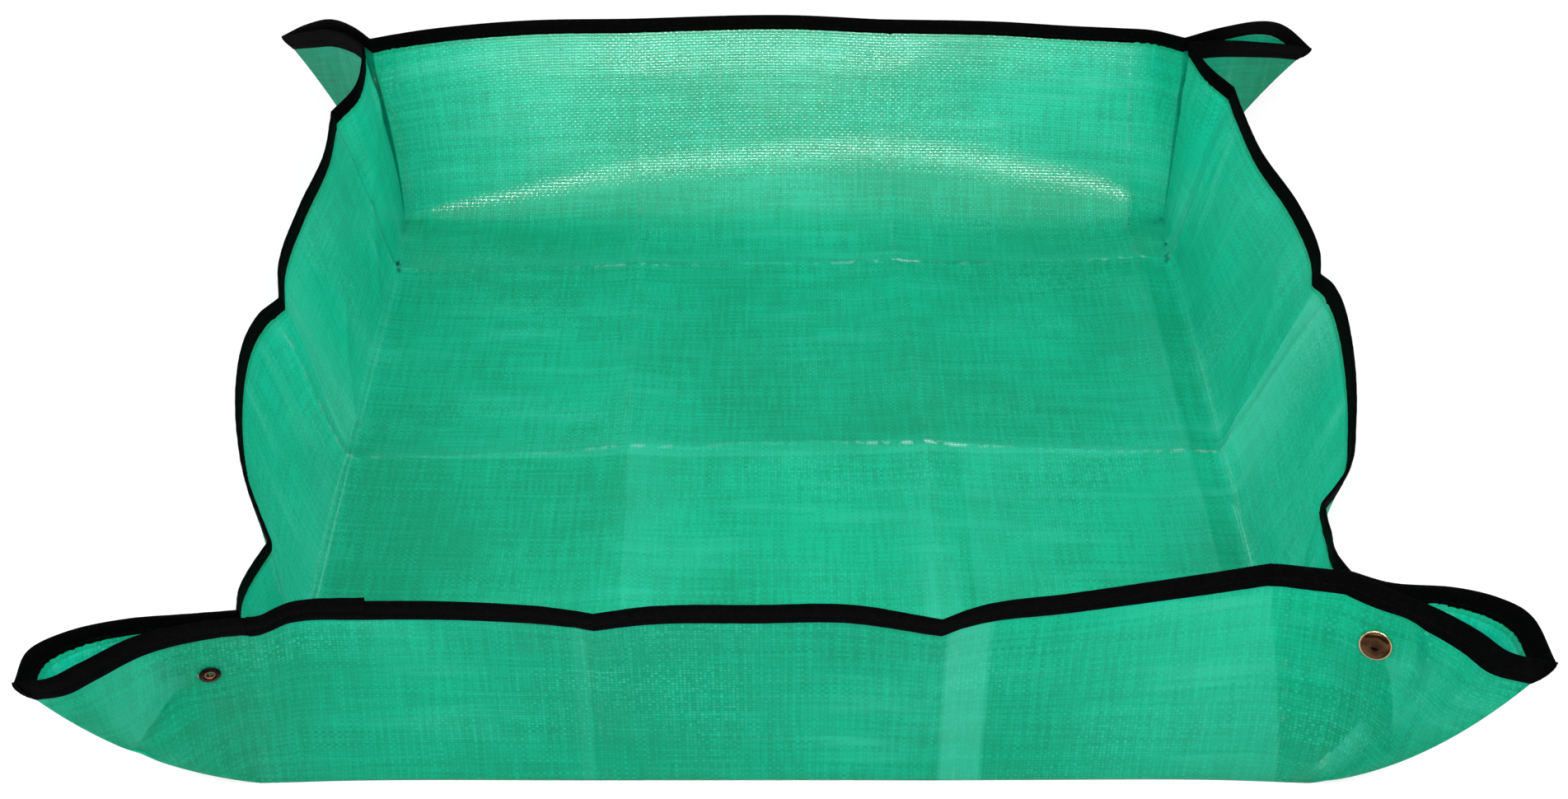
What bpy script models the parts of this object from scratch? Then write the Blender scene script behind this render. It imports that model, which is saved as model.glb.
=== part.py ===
"""Repotting mat: a square of coated woven sheet whose four corners are pinched
and held by press snaps, so that its edges stand up as the walls of a tray.

Metres, +Z up. The origin is under the middle of the floor panel. +Y is the back.
The sheet is one piece of cloth, cut here along its fold lines into panels. Each
corner is a pair of plies: the outer one carries on from the front or back wall, the
inner one from the side wall. One of the two, with its tape and its half of the snap,
peels away from the other about the diagonal fold.
"""

import math

import bmesh
import bpy
import numpy as np

MM = 0.001

# The sheet
MAT_SIZE = 750 * MM
WALL_HEIGHT = 125 * MM
SHEET_THICKNESS = 0.5 * MM
FIT_GAP = 0.3 * MM
PANEL_GAP = 0.6 * MM

# The folded tape round the edge, and its sewing thread
TAPE_THICKNESS = 0.6 * MM
TAPE_DEPTH = 9 * MM
THREAD_DIAMETER = 0.5 * MM
THREAD_INSET = 2 * MM
THREAD_GAP = 0.45 * MM
TAPE_END_TRIM = 2.3 * MM

# Where each snap sits, measured on the flat sheet from the corner line and the rim
SNAP_ACROSS = 15 * MM
SNAP_DROPS = {
    "front_left": 35 * MM,
    "front_right": 29 * MM,
    "back_left": 35 * MM,
    "back_right": 35 * MM,
}
SNAP_HALF_SPACE = 2 * MM
SNAP_FLAT_RADIUS = 16 * MM
SNAP_FLAT_FADE = 14 * MM

# The four turned pieces of a snap, and its spring
CAP_RADIUS = 7.5 * MM
CAP_HEIGHT = 1.8 * MM
CAP_RIM = 0.7 * MM
CAP_POST_RADIUS = 1.5 * MM
SNAP_WALL = 0.5 * MM
SOCKET_RADIUS = 6.2 * MM
SOCKET_HEIGHT = 1.8 * MM
NUB_RADIUS = 2.6 * MM
NUB_BORE_RADIUS = 1.7 * MM
STUD_RADIUS = 5.5 * MM
STUD_FLANGE = 0.65 * MM
SPRING_WIRE = 0.7 * MM
SPRING_PLAY = 0.45 * MM
EYELET_RADIUS = 4.9 * MM
EYELET_HEIGHT = 0.9 * MM
EYELET_HOLE_RADIUS = 0.85 * MM
EYELET_BARREL_RADIUS = 1.35 * MM
CLOTH_HOLE_RADIUS = 2.2 * MM

# What keeps a bend that has no radius from a division by nothing
BEND_FLOOR_SHARE = 0.0002

# How round the turned pieces are
TURN_STEPS = 16
SPRING_STEPS = 18
WIRE_SIDES = 6
SPRING_OPEN_TURN_SHARE = 0.12

FLOOR_HALF = MAT_SIZE / 2 - WALL_HEIGHT
SHEET_MIDDLE = SHEET_THICKNESS / 2
PLY_HALF_GAP = SHEET_MIDDLE + FIT_GAP
SLOT_HALF = SHEET_MIDDLE + FIT_GAP
TAPE_HALF = SLOT_HALF + TAPE_THICKNESS

# Each wall's rim: how far along the wall (of half the floor), how far out and how
# high (of the wall's height), and whether a packing crease kinks the rim there.
RIM_SHARES = {
    "front": (
        (-0.965, 0.122, 0.965, False),
        (-0.91, 0.053, 0.960, False),
        (-0.77, 0.030, 0.955, False),
        (-0.45, 0.062, 0.960, False),
        (-0.34, 0.085, 0.940, True),
        (-0.24, 0.070, 0.965, False),
        (-0.05, 0.066, 0.970, False),
        (0.12, 0.062, 0.968, False),
        (0.28, 0.100, 0.930, True),
        (0.36, 0.053, 0.960, False),
        (0.51, 0.002, 0.968, False),
        (0.71, -0.073, 0.976, False),
        (0.87, -0.134, 0.984, True),
    ),
    "back": (
        (-0.96, 0.180, 0.970, False),
        (-0.88, 0.300, 0.940, False),
        (-0.66, 0.444, 0.912, False),
        (-0.40, 0.478, 0.905, True),
        (0.00, 0.496, 0.908, False),
        (0.25, 0.478, 0.902, True),
        (0.55, 0.430, 0.910, False),
        (0.74, 0.374, 0.920, False),
        (0.85, 0.350, 0.935, True),
        (0.94, 0.250, 0.970, False),
    ),
    "left": (
        (-0.90, -0.036, 0.900, False),
        (-0.74, -0.055, 0.810, True),
        (-0.60, 0.080, 0.900, False),
        (-0.32, 0.210, 0.952, False),
        (-0.08, 0.226, 0.890, False),
        (0.01, 0.180, 0.848, True),
        (0.12, 0.214, 0.880, False),
        (0.34, 0.205, 0.888, False),
        (0.58, 0.165, 0.896, False),
        (0.75, 0.190, 0.915, True),
        (0.82, 0.100, 0.960, False),
        (0.92, 0.085, 0.990, False),
    ),
    "right": (
        (-0.93, 0.004, 0.972, False),
        (-0.78, 0.054, 0.860, False),
        (-0.68, 0.070, 0.832, True),
        (-0.61, 0.180, 0.885, False),
        (-0.49, 0.250, 0.920, False),
        (-0.14, 0.360, 0.936, False),
        (0.02, 0.370, 0.900, False),
        (0.09, 0.343, 0.864, True),
        (0.17, 0.366, 0.880, False),
        (0.35, 0.338, 0.896, False),
        (0.58, 0.246, 0.904, False),
        (0.85, 0.205, 0.936, True),
        (0.91, 0.100, 0.980, False),
    ),
}

# The bend between floor and wall: its radius at mid wall (of the wall's height),
# and the power that says how late it tightens towards the ends.
BEND_SHARES = {
    "front": (0.065, 8),
    "back": (0.52, 2),
    "left": (0.050, 8),
    "right": (0.080, 8),
}

# How wide a margin of floor each wall's panel takes, of the wall's height.
MARGIN_SHARES = {"front": 0.07, "back": 0.36, "left": 0.07, "right": 0.07}

# The corners: the sides they lie on, which ply wears the cap, and which one peels
# (1 is the outer ply and -1 the inner one).
CORNERS = {
    "front_left": (-1, -1, -1, 1),
    "front_right": (1, -1, 1, 1),
    "back_left": (-1, 1, 1, -1),
    "back_right": (1, 1, -1, -1),
}
PLY_WORDS = {-1: "inner", 1: "outer"}

# Each ear's rim from the neck to the tip: how far along, then its middle line and
# half the opening between the plies, both outwards in x, outwards in y and up
# from the floor's corner, all of the wall's height.
EAR_SHARES = {
    "front_left": (
        (0.00, (-0.088, 0.128, 0.988), (-0.004, 0.018, 0.000)),
        (0.165, (0.072, 0.156, 0.992), (-0.006, 0.018, -0.004)),
        (0.38, (0.260, 0.224, 1.012), (-0.020, 0.040, -0.004)),
        (0.60, (0.420, 0.336, 1.030), (-0.044, 0.088, 0.010)),
        (0.77, (0.500, 0.448, 1.062), (-0.052, 0.072, 0.002)),
        (1.00, (0.544, 0.576, 1.096), (0.000, 0.000, 0.000)),
    ),
    "front_right": (
        (0.00, (0.020, -0.076, 1.005), (-0.004, 0.010, 0.010)),
        (0.13, (0.144, -0.008, 1.000), (-0.005, 0.012, 0.000)),
        (0.34, (0.332, 0.070, 1.006), (-0.044, 0.074, 0.014)),
        (0.54, (0.440, 0.184, 1.040), (-0.062, 0.096, 0.012)),
        (0.76, (0.504, 0.332, 1.084), (-0.062, 0.092, 0.004)),
        (1.00, (0.556, 0.520, 1.136), (0.000, 0.000, 0.000)),
    ),
    "back_left": (
        (0.00, (0.088, 0.030, 1.010), (-0.015, 0.022, 0.004)),
        (0.17, (0.180, 0.140, 1.010), (-0.012, 0.020, 0.012)),
        (0.42, (0.328, 0.328, 0.950), (-0.008, 0.022, 0.018)),
        (0.70, (0.496, 0.520, 0.828), (0.000, 0.020, 0.012)),
        (1.00, (0.672, 0.720, 0.680), (0.000, 0.000, 0.000)),
    ),
    "back_right": (
        (0.00, (0.016, 0.030, 1.020), (-0.011, 0.022, 0.000)),
        (0.23, (0.208, 0.124, 1.004), (-0.006, 0.018, 0.026)),
        (0.58, (0.472, 0.336, 0.904), (0.006, 0.024, 0.048)),
        (0.78, (0.616, 0.460, 0.816), (0.000, 0.022, 0.038)),
        (1.00, (0.776, 0.568, 0.688), (0.000, 0.000, 0.000)),
    ),
}

# How far the corner line swells out of straight at a third of its height, and the
# fold line at its middle.
CORNER_SWELL_SHARES = {
    "front_left": (0.000, 0.000, 0.000),
    "front_right": (0.012, 0.070, 0.000),
    "back_left": (-0.020, 0.000, 0.000),
    "back_right": (0.000, 0.000, 0.000),
}
FOLD_SWELL_SHARES = {
    "front_left": (0.034, 0.044, -0.036),
    "front_right": (0.022, 0.078, -0.058),
    "back_left": (0.000, 0.032, 0.048),
    "back_right": (0.000, 0.040, 0.056),
}

# Where the panels have their rows and columns
WALL_COLUMN_SHARES = (
    -1.0, -0.96, -0.90, -0.81, -0.73, -0.65, -0.56, -0.46, -0.35, -0.25, -0.15, -0.05,
    0.05, 0.15, 0.25, 0.35, 0.46, 0.56, 0.65, 0.73, 0.81, 0.90, 0.96, 1.0,
)
WALL_ROW_SHARES = (0.0, 0.22, 0.4, 0.6, 0.74, 0.86)
BEND_ROW_SHARES = (-0.9, -0.6, -0.3, 0.0, 0.3, 0.6, 0.9)
EAR_COLUMN_SHARES = (
    0.0, 0.05, 0.16, 0.27, 0.36, 0.45, 0.55, 0.65, 0.74, 0.82, 0.90, 0.96, 1.0,
)
EAR_ROW_SHARES = (0.06, 0.22, 0.4, 0.6, 0.74, 0.86)
EAR_TAPE_END_SHARE = 0.90

# Colours, as linear light
GREEN = (0.010, 0.420, 0.220, 1.0)
BLACK = (0.010, 0.010, 0.011, 1.0)
BRASS = (0.300, 0.180, 0.090, 1.0)
STEEL = (0.400, 0.390, 0.370, 1.0)


def material(name, colour, roughness, metallic):
    """A Principled material with the piece's own colour and finish."""
    made = bpy.data.materials.new(name)
    made.use_nodes = True
    shader = made.node_tree.nodes["Principled BSDF"]
    shader.inputs["Base Color"].default_value = colour
    shader.inputs["Roughness"].default_value = roughness
    shader.inputs["Metallic"].default_value = metallic
    return made


def mesh_object(name, points, faces, look, smooth_angle=math.radians(35)):
    """A closed mesh with its faces turned outwards and its round sides smooth."""
    mesh = bpy.data.meshes.new(name)
    mesh.from_pydata([tuple(point) for point in points], [], faces)
    work = bmesh.new()
    work.from_mesh(mesh)
    bmesh.ops.recalc_face_normals(work, faces=work.faces)
    work.to_mesh(mesh)
    work.free()
    mesh.shade_smooth()
    mesh.set_sharp_from_angle(angle=smooth_angle)
    made = bpy.data.objects.new(name, mesh)
    bpy.context.scene.collection.objects.link(made)
    made.data.materials.append(material(name + "_finish", *look))
    return made


def hang_on(piece, parent):
    """Parent a piece to an empty without moving it."""
    if parent is not None:
        piece.parent = parent
        piece.matrix_parent_inverse = parent.matrix_world.inverted()


def unit(vectors):
    """Each vector divided by its own length."""
    return vectors / np.linalg.norm(vectors, axis=-1, keepdims=True)


def curve_through(knots, values, kinks, where):
    """Smooth curve through the values at the knots, kept sharp at the kinks.

    Each span is a cubic whose end slopes are those of the chords beside the knot:
    their mean at a smooth knot, and the span's own chord at a kink or an end.
    """
    knots = np.asarray(knots, float)
    values = np.asarray(values, float)
    chords = np.diff(values, axis=0) / np.diff(knots)[:, None]
    before = np.vstack([chords[:1], chords])
    after = np.vstack([chords, chords[-1:]])
    mean = (before + after) / 2
    sharp = np.asarray(kinks, bool)[:, None]
    slope_in = np.where(sharp, before, mean)
    slope_out = np.where(sharp, after, mean)
    where = np.asarray(where, float)
    span = np.clip(np.searchsorted(knots, where, side="right") - 1, 0, len(knots) - 2)
    width = (knots[span + 1] - knots[span])[..., None]
    t = (where[..., None] - knots[span][..., None]) / width
    rise = t * t * (3 - 2 * t)
    return (
        values[span] * (1 - rise)
        + values[span + 1] * rise
        + slope_out[span] * width * t * (1 - t) ** 2
        - slope_in[span + 1] * width * t * t * (1 - t)
    )


def corner_bow(up):
    """A cubic hump: nothing at the foot and the rim, and 1 at a third of the height."""
    return 27 / 4 * up * (1 - up) ** 2


class Ear:
    """One pinched corner: a doubled cone of sheet that runs out from the floor's corner."""

    def __init__(self, name):
        self.name = name
        self.side_x, self.side_y, self.cap_ply, self.flap_ply = CORNERS[name]
        rows = EAR_SHARES[name]
        self.knots = [row[0] for row in rows]
        self.middles = [row[1] for row in rows]
        self.openings = [row[2] for row in rows]
        self.foot = np.array([self.side_x * FLOOR_HALF, self.side_y * FLOOR_HALF, SHEET_MIDDLE])
        self.snap_up = WALL_HEIGHT - SNAP_DROPS[name]
        self.corner_swell = self.world(CORNER_SWELL_SHARES[name])
        self.fold_swell = self.world(FOLD_SWELL_SHARES[name])
        self.tip = self.foot + self.rim(np.array(1.0), 0)
        self.set_snap_frame()

    def world(self, shares):
        """Shares of the wall's height, outwards from the corner, as a world vector."""
        turn = np.array([self.side_x, self.side_y, 1.0])
        return np.asarray(shares, float) * turn * WALL_HEIGHT

    def rim(self, along, ply):
        """The rim, measured from the foot; ply is 1 for the outer, -1 for the inner one."""
        smooth = [False] * len(self.knots)
        middle = curve_through(self.knots, self.middles, smooth, along)
        opening = curve_through(self.knots, self.openings, smooth, along)
        return self.world(middle + ply * opening)

    def across(self, along):
        """Unit vector square to the middle cone, from the inner ply to the outer one."""
        step = PANEL_GAP / WALL_HEIGHT
        back = np.clip(along - step, 0, 1)
        ahead = np.clip(along + step, 0, 1)
        tangent = self.rim(ahead, 0) - self.rim(back, 0)
        normal = unit(np.cross(tangent, self.rim(along, 0)))
        return normal * -self.side_x * self.side_y

    def cone(self, along, up, ply):
        """Point of a ply: along the rim and up from the foot, both as shares.

        It is the straight line from the foot to the rim, with the corner line's swell
        fading into the fold line's along the rim.
        """
        along, up = np.broadcast_arrays(np.asarray(along, float), np.asarray(up, float))
        swell = ((1 - along) * corner_bow(up))[..., None] * self.corner_swell
        swell = swell + (along * 4 * up * (1 - up))[..., None] * self.fold_swell
        spread = ply * PLY_HALF_GAP * self.across(along)
        return self.foot + up[..., None] * self.rim(along, ply) + swell + spread

    def set_snap_frame(self):
        """The snap's centre and axis, square to the middle of the ear."""
        up = self.snap_up / WALL_HEIGHT
        along = SNAP_ACROSS / self.snap_up
        step = PANEL_GAP / WALL_HEIGHT
        ends = self.cone(np.array([along - step, along + step]), np.array([up, up]), 0)
        rises = self.cone(np.array([along, along]), np.array([up - step, up + step]), 0)
        self.snap_centre = self.cone(np.array([along]), np.array([up]), 0)[0]
        axis = unit(np.cross(ends[1] - ends[0], rises[1] - rises[0]))
        self.snap_axis = axis if axis @ self.across(np.array(along)) > 0 else -axis
        self.snap_side = unit(ends[1] - ends[0])

    def pressed(self, points, across, up, ply):
        """Points drawn onto the flat seat round the snap, fading out beyond it.

        across and up are distances on the flat sheet from the corner line and the
        floor; across is negative on the wall.
        """
        reach = np.hypot(across - SNAP_ACROSS, up - self.snap_up)
        share = np.clip(1 - (reach - SNAP_FLAT_RADIUS) / SNAP_FLAT_FADE, 0, 1)
        pull = (share * share * (3 - 2 * share))[..., None]
        seat = self.snap_centre + ply * SNAP_HALF_SPACE * self.snap_axis
        off = ((seat - points) @ self.snap_axis)[..., None]
        return points + pull * off * self.snap_axis

    def ply_points(self, along, up, ply):
        """A ply's points, flat where the snap is clenched."""
        along, up = np.broadcast_arrays(np.asarray(along, float), np.asarray(up, float))
        height = up * WALL_HEIGHT
        return self.pressed(self.cone(along, up, ply), along * height, height, ply)

    def neck(self, ply):
        """Where a ply meets its wall's rim."""
        return self.cone(np.array([0.0]), np.array([1.0]), ply)[0]


class Wall:
    """One wall: a strip of sheet that bends up from the floor and runs to its rim."""

    def __init__(self, name, ears):
        self.name = name
        self.lies_x = name in ("front", "back")
        self.ply = 1 if self.lies_x else -1
        self.out = -1 if name in ("front", "left") else 1
        first, last = {
            "front": ("front_left", "front_right"),
            "back": ("back_left", "back_right"),
            "left": ("front_left", "back_left"),
            "right": ("front_right", "back_right"),
        }[name]
        self.ears = (ears[first], ears[last])
        around = ("left", "right") if self.lies_x else ("front", "back")
        self.margin = MARGIN_SHARES[name] * WALL_HEIGHT
        self.end_margins = [MARGIN_SHARES[other] * WALL_HEIGHT for other in around]
        rows = RIM_SHARES[name]
        necks = [self.local(ear.neck(self.ply) - ear.foot) / WALL_HEIGHT for ear in self.ears]
        self.end_drift = [neck[0] * WALL_HEIGHT for neck in necks]
        self.end_swell = [self.local(ear.corner_swell) for ear in self.ears]
        self.knots = [-1.0] + [row[0] for row in rows] + [1.0]
        self.rims = (
            [(necks[0][1], necks[0][2])]
            + [(row[1], row[2]) for row in rows]
            + [(necks[1][1], necks[1][2])]
        )
        self.kinks = [False] + [row[3] for row in rows] + [False]

    def local(self, vector):
        """A world vector as (along the wall, outwards, up)."""
        along, out = (vector[0], vector[1]) if self.lies_x else (vector[1], vector[0])
        return np.array([along, out * self.out, vector[2]])

    def world(self, along, out, up):
        """Places along, outwards of the floor's edge and up, as world points."""
        out = self.out * (FLOOR_HALF + out)
        pair = (along, out) if self.lies_x else (out, along)
        return np.stack([pair[0], pair[1], up + SHEET_MIDDLE], axis=-1)

    def profile(self, share, rise):
        """Outward offset and height where the sheet has run rise past the fold line.

        The sheet follows the floor, then an arc, then a straight line to the rim;
        the rise is stretched a little so that it ends exactly on the rim.
        """
        rim = curve_through(self.knots, self.rims, self.kinks, share) * WALL_HEIGHT
        lean = np.arctan2(rim[..., 1], rim[..., 0])
        length = np.hypot(rim[..., 0], rim[..., 1])
        radius_share, power = BEND_SHARES[self.name]
        tightening = np.clip(1 - np.abs(share) ** power, 0, 1)
        radius = radius_share * WALL_HEIGHT * tightening
        setback = radius * np.tan(lean / 2)
        whole = radius * lean + length - setback
        run = (rise + setback) * whole / (WALL_HEIGHT + setback)
        bend = np.maximum(radius, FIT_GAP * (tightening + BEND_FLOOR_SHARE))
        turn = np.clip(run / bend, 0, lean)
        past = np.maximum(run - radius * lean, 0)
        out = radius * np.sin(turn) - setback + past * np.cos(lean)
        up = radius * (1 - np.cos(turn)) + past * np.sin(lean)
        on_floor = run < 0
        return np.where(on_floor, rise, out), np.where(on_floor, 0, up)

    def points(self, share, rise):
        """Points of the wall: share runs -1 to 1 along it, rise up from the fold line."""
        share, rise = np.broadcast_arrays(np.asarray(share, float), np.asarray(rise, float))
        below = np.minimum(rise, 0)
        ends = [
            FLOOR_HALF + below * end_margin / self.margin - trim
            for end_margin, trim in zip(self.end_margins, (PANEL_GAP, PANEL_GAP))
        ]
        half = np.where(share < 0, ends[0], ends[1])
        place = share * half
        out, up = self.profile(place / FLOOR_HALF, rise)
        height = np.clip(rise / WALL_HEIGHT, 0, 1)
        bow = corner_bow(height)
        pulls = [np.clip(-share, 0, 1) ** 3, np.clip(share, 0, 1) ** 3]
        along = place
        for pull, drift, swell in zip(pulls, self.end_drift, self.end_swell):
            along = along + pull * (height * drift + bow * swell[0])
            out = out + pull * bow * swell[1]
            up = up + pull * bow * swell[2]
        made = self.world(along, out, up)
        for ear, end in zip(self.ears, (-1, 1)):
            across = end * place - FLOOR_HALF
            made = ear.pressed(made, across, rise, self.ply)
        return made

    def columns(self):
        """The shares at which the panel has its columns, one of them on each crease."""
        shares = np.array(WALL_COLUMN_SHARES)
        for knot, kink in zip(self.knots, self.kinks):
            if kink:
                shares[np.argmin(np.abs(shares - knot))] = knot
        return shares

    def rows(self):
        """The rises at which the panel has its rows."""
        radius = BEND_SHARES[self.name][0] * WALL_HEIGHT
        bend = [share * radius for share in BEND_ROW_SHARES if share * radius > -self.margin]
        plain = [share * WALL_HEIGHT for share in WALL_ROW_SHARES]
        plain = [rise for rise in plain if rise > bend[-1] + TAPE_DEPTH]
        return np.array([-self.margin] + bend + plain + [WALL_HEIGHT - TAPE_DEPTH, WALL_HEIGHT])


def grid_normals(points):
    """Unit normals of a grid of points, from its two directions."""
    return unit(np.cross(np.gradient(points, axis=0), np.gradient(points, axis=1)))


def sheet_solid(name, points, look):
    """A grid of middle points given the sheet's thickness, as one closed solid."""
    rows, columns = points.shape[:2]
    offset = grid_normals(points) * SHEET_MIDDLE
    both = np.concatenate([(points + offset).reshape(-1, 3), (points - offset).reshape(-1, 3)])
    index = np.arange(rows * columns).reshape(rows, columns)
    faces = []
    for r in range(rows - 1):
        for c in range(columns - 1):
            low, rim = index[r, c], index[r + 1, c + 1]
            for side in (index[r, c + 1], index[r + 1, c]):
                ring = [int(i) for i in (low, side, rim)]
                faces.append(ring)
                faces.append([i + rows * columns for i in ring])
    edge = list(index[0, :]) + list(index[1:, -1]) + list(index[-1, -2::-1])
    edge += list(index[-2:0:-1, 0])
    for here, after in zip(edge, edge[1:] + edge[:1]):
        here, after = int(here), int(after)
        faces.append([here, after, after + rows * columns, here + rows * columns])
    return mesh_object(name, both, faces, look)


def swept_solid(name, sections, look, turned_sides=()):
    """Closed sections carried along a path and capped at both ends.

    Each four-sided face is cut into two from its first corner, or from its second
    one on the turned sides, so that a slot is cut as the sheet inside it is.
    """
    count, sides = sections.shape[:2]
    faces = [list(range(sides)), [(count - 1) * sides + i for i in reversed(range(sides))]]
    for s in range(count - 1):
        for i in range(sides):
            j = (i + 1) % sides
            ring = [s * sides + i, (s + 1) * sides + i, (s + 1) * sides + j, s * sides + j]
            if i in turned_sides:
                ring = ring[1:] + ring[:1]
            faces.append([ring[0], ring[1], ring[2]])
            faces.append([ring[0], ring[2], ring[3]])
    return mesh_object(name, sections.reshape(-1, 3), faces, look)


def edge_frames(rims, insides):
    """Vectors down into the sheet and square to it, at each place on a rim.

    The square one is mitred: the sum of the normals of the two spans beside the
    place, over 1 plus their dot product, so both spans keep their full offset.
    """
    down = (insides - rims) / TAPE_DEPTH
    spans = np.diff(rims, axis=0)
    before = unit(np.cross(np.vstack([spans[:1], spans]), down))
    after = unit(np.cross(np.vstack([spans, spans[-1:]]), down))
    return down, (before + after) / (1 + (before * after).sum(axis=1, keepdims=True))


def run_on(wall_edge, before, after):
    """A wall's edge run on into its plies' edges, whose first places are the necks."""
    runs = [wall_edge]
    if before is not None:
        runs = [before[::-1], wall_edge[1:]]
    if after is not None:
        runs = runs[:-1] + [runs[-1][:-1], after]
    return np.concatenate(runs)


def shortened(rims, insides, at_start, at_end):
    """An edge cut back at its ends by straight steps, so it keeps the sheet's own facets."""
    rims, insides = rims.copy(), insides.copy()
    for end, beside, wanted in ((0, 1, at_start), (-1, -2, at_end)):
        if wanted:
            share = TAPE_END_TRIM / np.linalg.norm(rims[beside] - rims[end])
            rims[end] += share * (rims[beside] - rims[end])
            insides[end] += share * (insides[beside] - insides[end])
    return rims, insides


def tape_solid(name, rims, insides, look):
    """The tape: folded over the rim, with a leg down each face of the sheet."""
    down, across = edge_frames(rims, insides)
    top = FIT_GAP + TAPE_THICKNESS
    section = (
        (TAPE_DEPTH, TAPE_HALF),
        (-FIT_GAP, TAPE_HALF),
        (-top, SLOT_HALF),
        (-top, -SLOT_HALF),
        (-FIT_GAP, -TAPE_HALF),
        (TAPE_DEPTH, -TAPE_HALF),
        (TAPE_DEPTH, -SLOT_HALF),
        (-FIT_GAP, -SLOT_HALF),
        (-FIT_GAP, SLOT_HALF),
        (TAPE_DEPTH, SLOT_HALF),
    )
    sections = np.stack([rims + down * d + across * k for d, k in section], axis=1)
    return swept_solid(name, sections, look, turned_sides=(len(section) - 2,))


def thread_solid(name, rims, insides, outside, look):
    """The seam's thread: a fine line along the tape, near its edge, on its outer face."""
    down, across = edge_frames(rims, insides)
    face = np.sign((across @ outside).sum())
    centre = rims + down * (TAPE_DEPTH - THREAD_INSET)
    centre = centre + face * across * (TAPE_HALF + THREAD_GAP + THREAD_DIAMETER / 2)
    radius = THREAD_DIAMETER / 2
    ring = ((radius, 0), (0, radius), (-radius, 0), (0, -radius))
    sections = np.stack([centre + unit(down) * d + across * k for d, k in ring], axis=1)
    return swept_solid(name, sections, look)


def turned_solid(name, profile, centre, axis, side, look):
    """A closed profile of (radius, height) turned about an axis; its runs on the axis vanish."""
    turn = np.linspace(0, 2 * math.pi, TURN_STEPS, endpoint=False)
    other = np.cross(axis, side)
    spokes = np.cos(turn)[:, None] * side + np.sin(turn)[:, None] * other
    radii = np.array([p[0] for p in profile])
    heights = np.array([p[1] for p in profile])
    ring = centre + spokes[:, None, :] * radii[None, :, None] + heights[None, :, None] * axis
    count = len(profile)
    points, index = [], np.zeros((TURN_STEPS, count), int)
    for j in range(count):
        for i in range(TURN_STEPS):
            if radii[j] == 0 and i > 0:
                index[i, j] = index[0, j]
                continue
            index[i, j] = len(points)
            points.append(ring[i, j])
    faces = []
    for i in range(TURN_STEPS):
        k = (i + 1) % TURN_STEPS
        for j in range(count):
            m = (j + 1) % count
            corners = [index[i, j], index[k, j], index[k, m], index[i, m]]
            face = [int(c) for n, c in enumerate(corners) if c not in corners[:n]]
            if len(face) > 2:
                faces.append(face)
    return mesh_object(name, points, faces, look)


def spring_solid(name, centre, axis, side, look):
    """The socket's spring: an open ring of wire round the stud's nub."""
    reach = NUB_RADIUS + SPRING_PLAY + SPRING_WIRE / 2
    open_turn = SPRING_OPEN_TURN_SHARE * math.pi
    turn = np.linspace(open_turn, 2 * math.pi - open_turn, SPRING_STEPS)
    other = np.cross(axis, side)
    spokes = np.cos(turn)[:, None] * side + np.sin(turn)[:, None] * other
    around = np.linspace(0, 2 * math.pi, WIRE_SIDES, endpoint=False)
    wire = SPRING_WIRE / 2
    sections = np.stack(
        [
            centre + spokes * (reach + wire * math.cos(a)) + axis * wire * math.sin(a)
            for a in around
        ],
        axis=1,
    )
    return swept_solid(name, sections, look)


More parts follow.
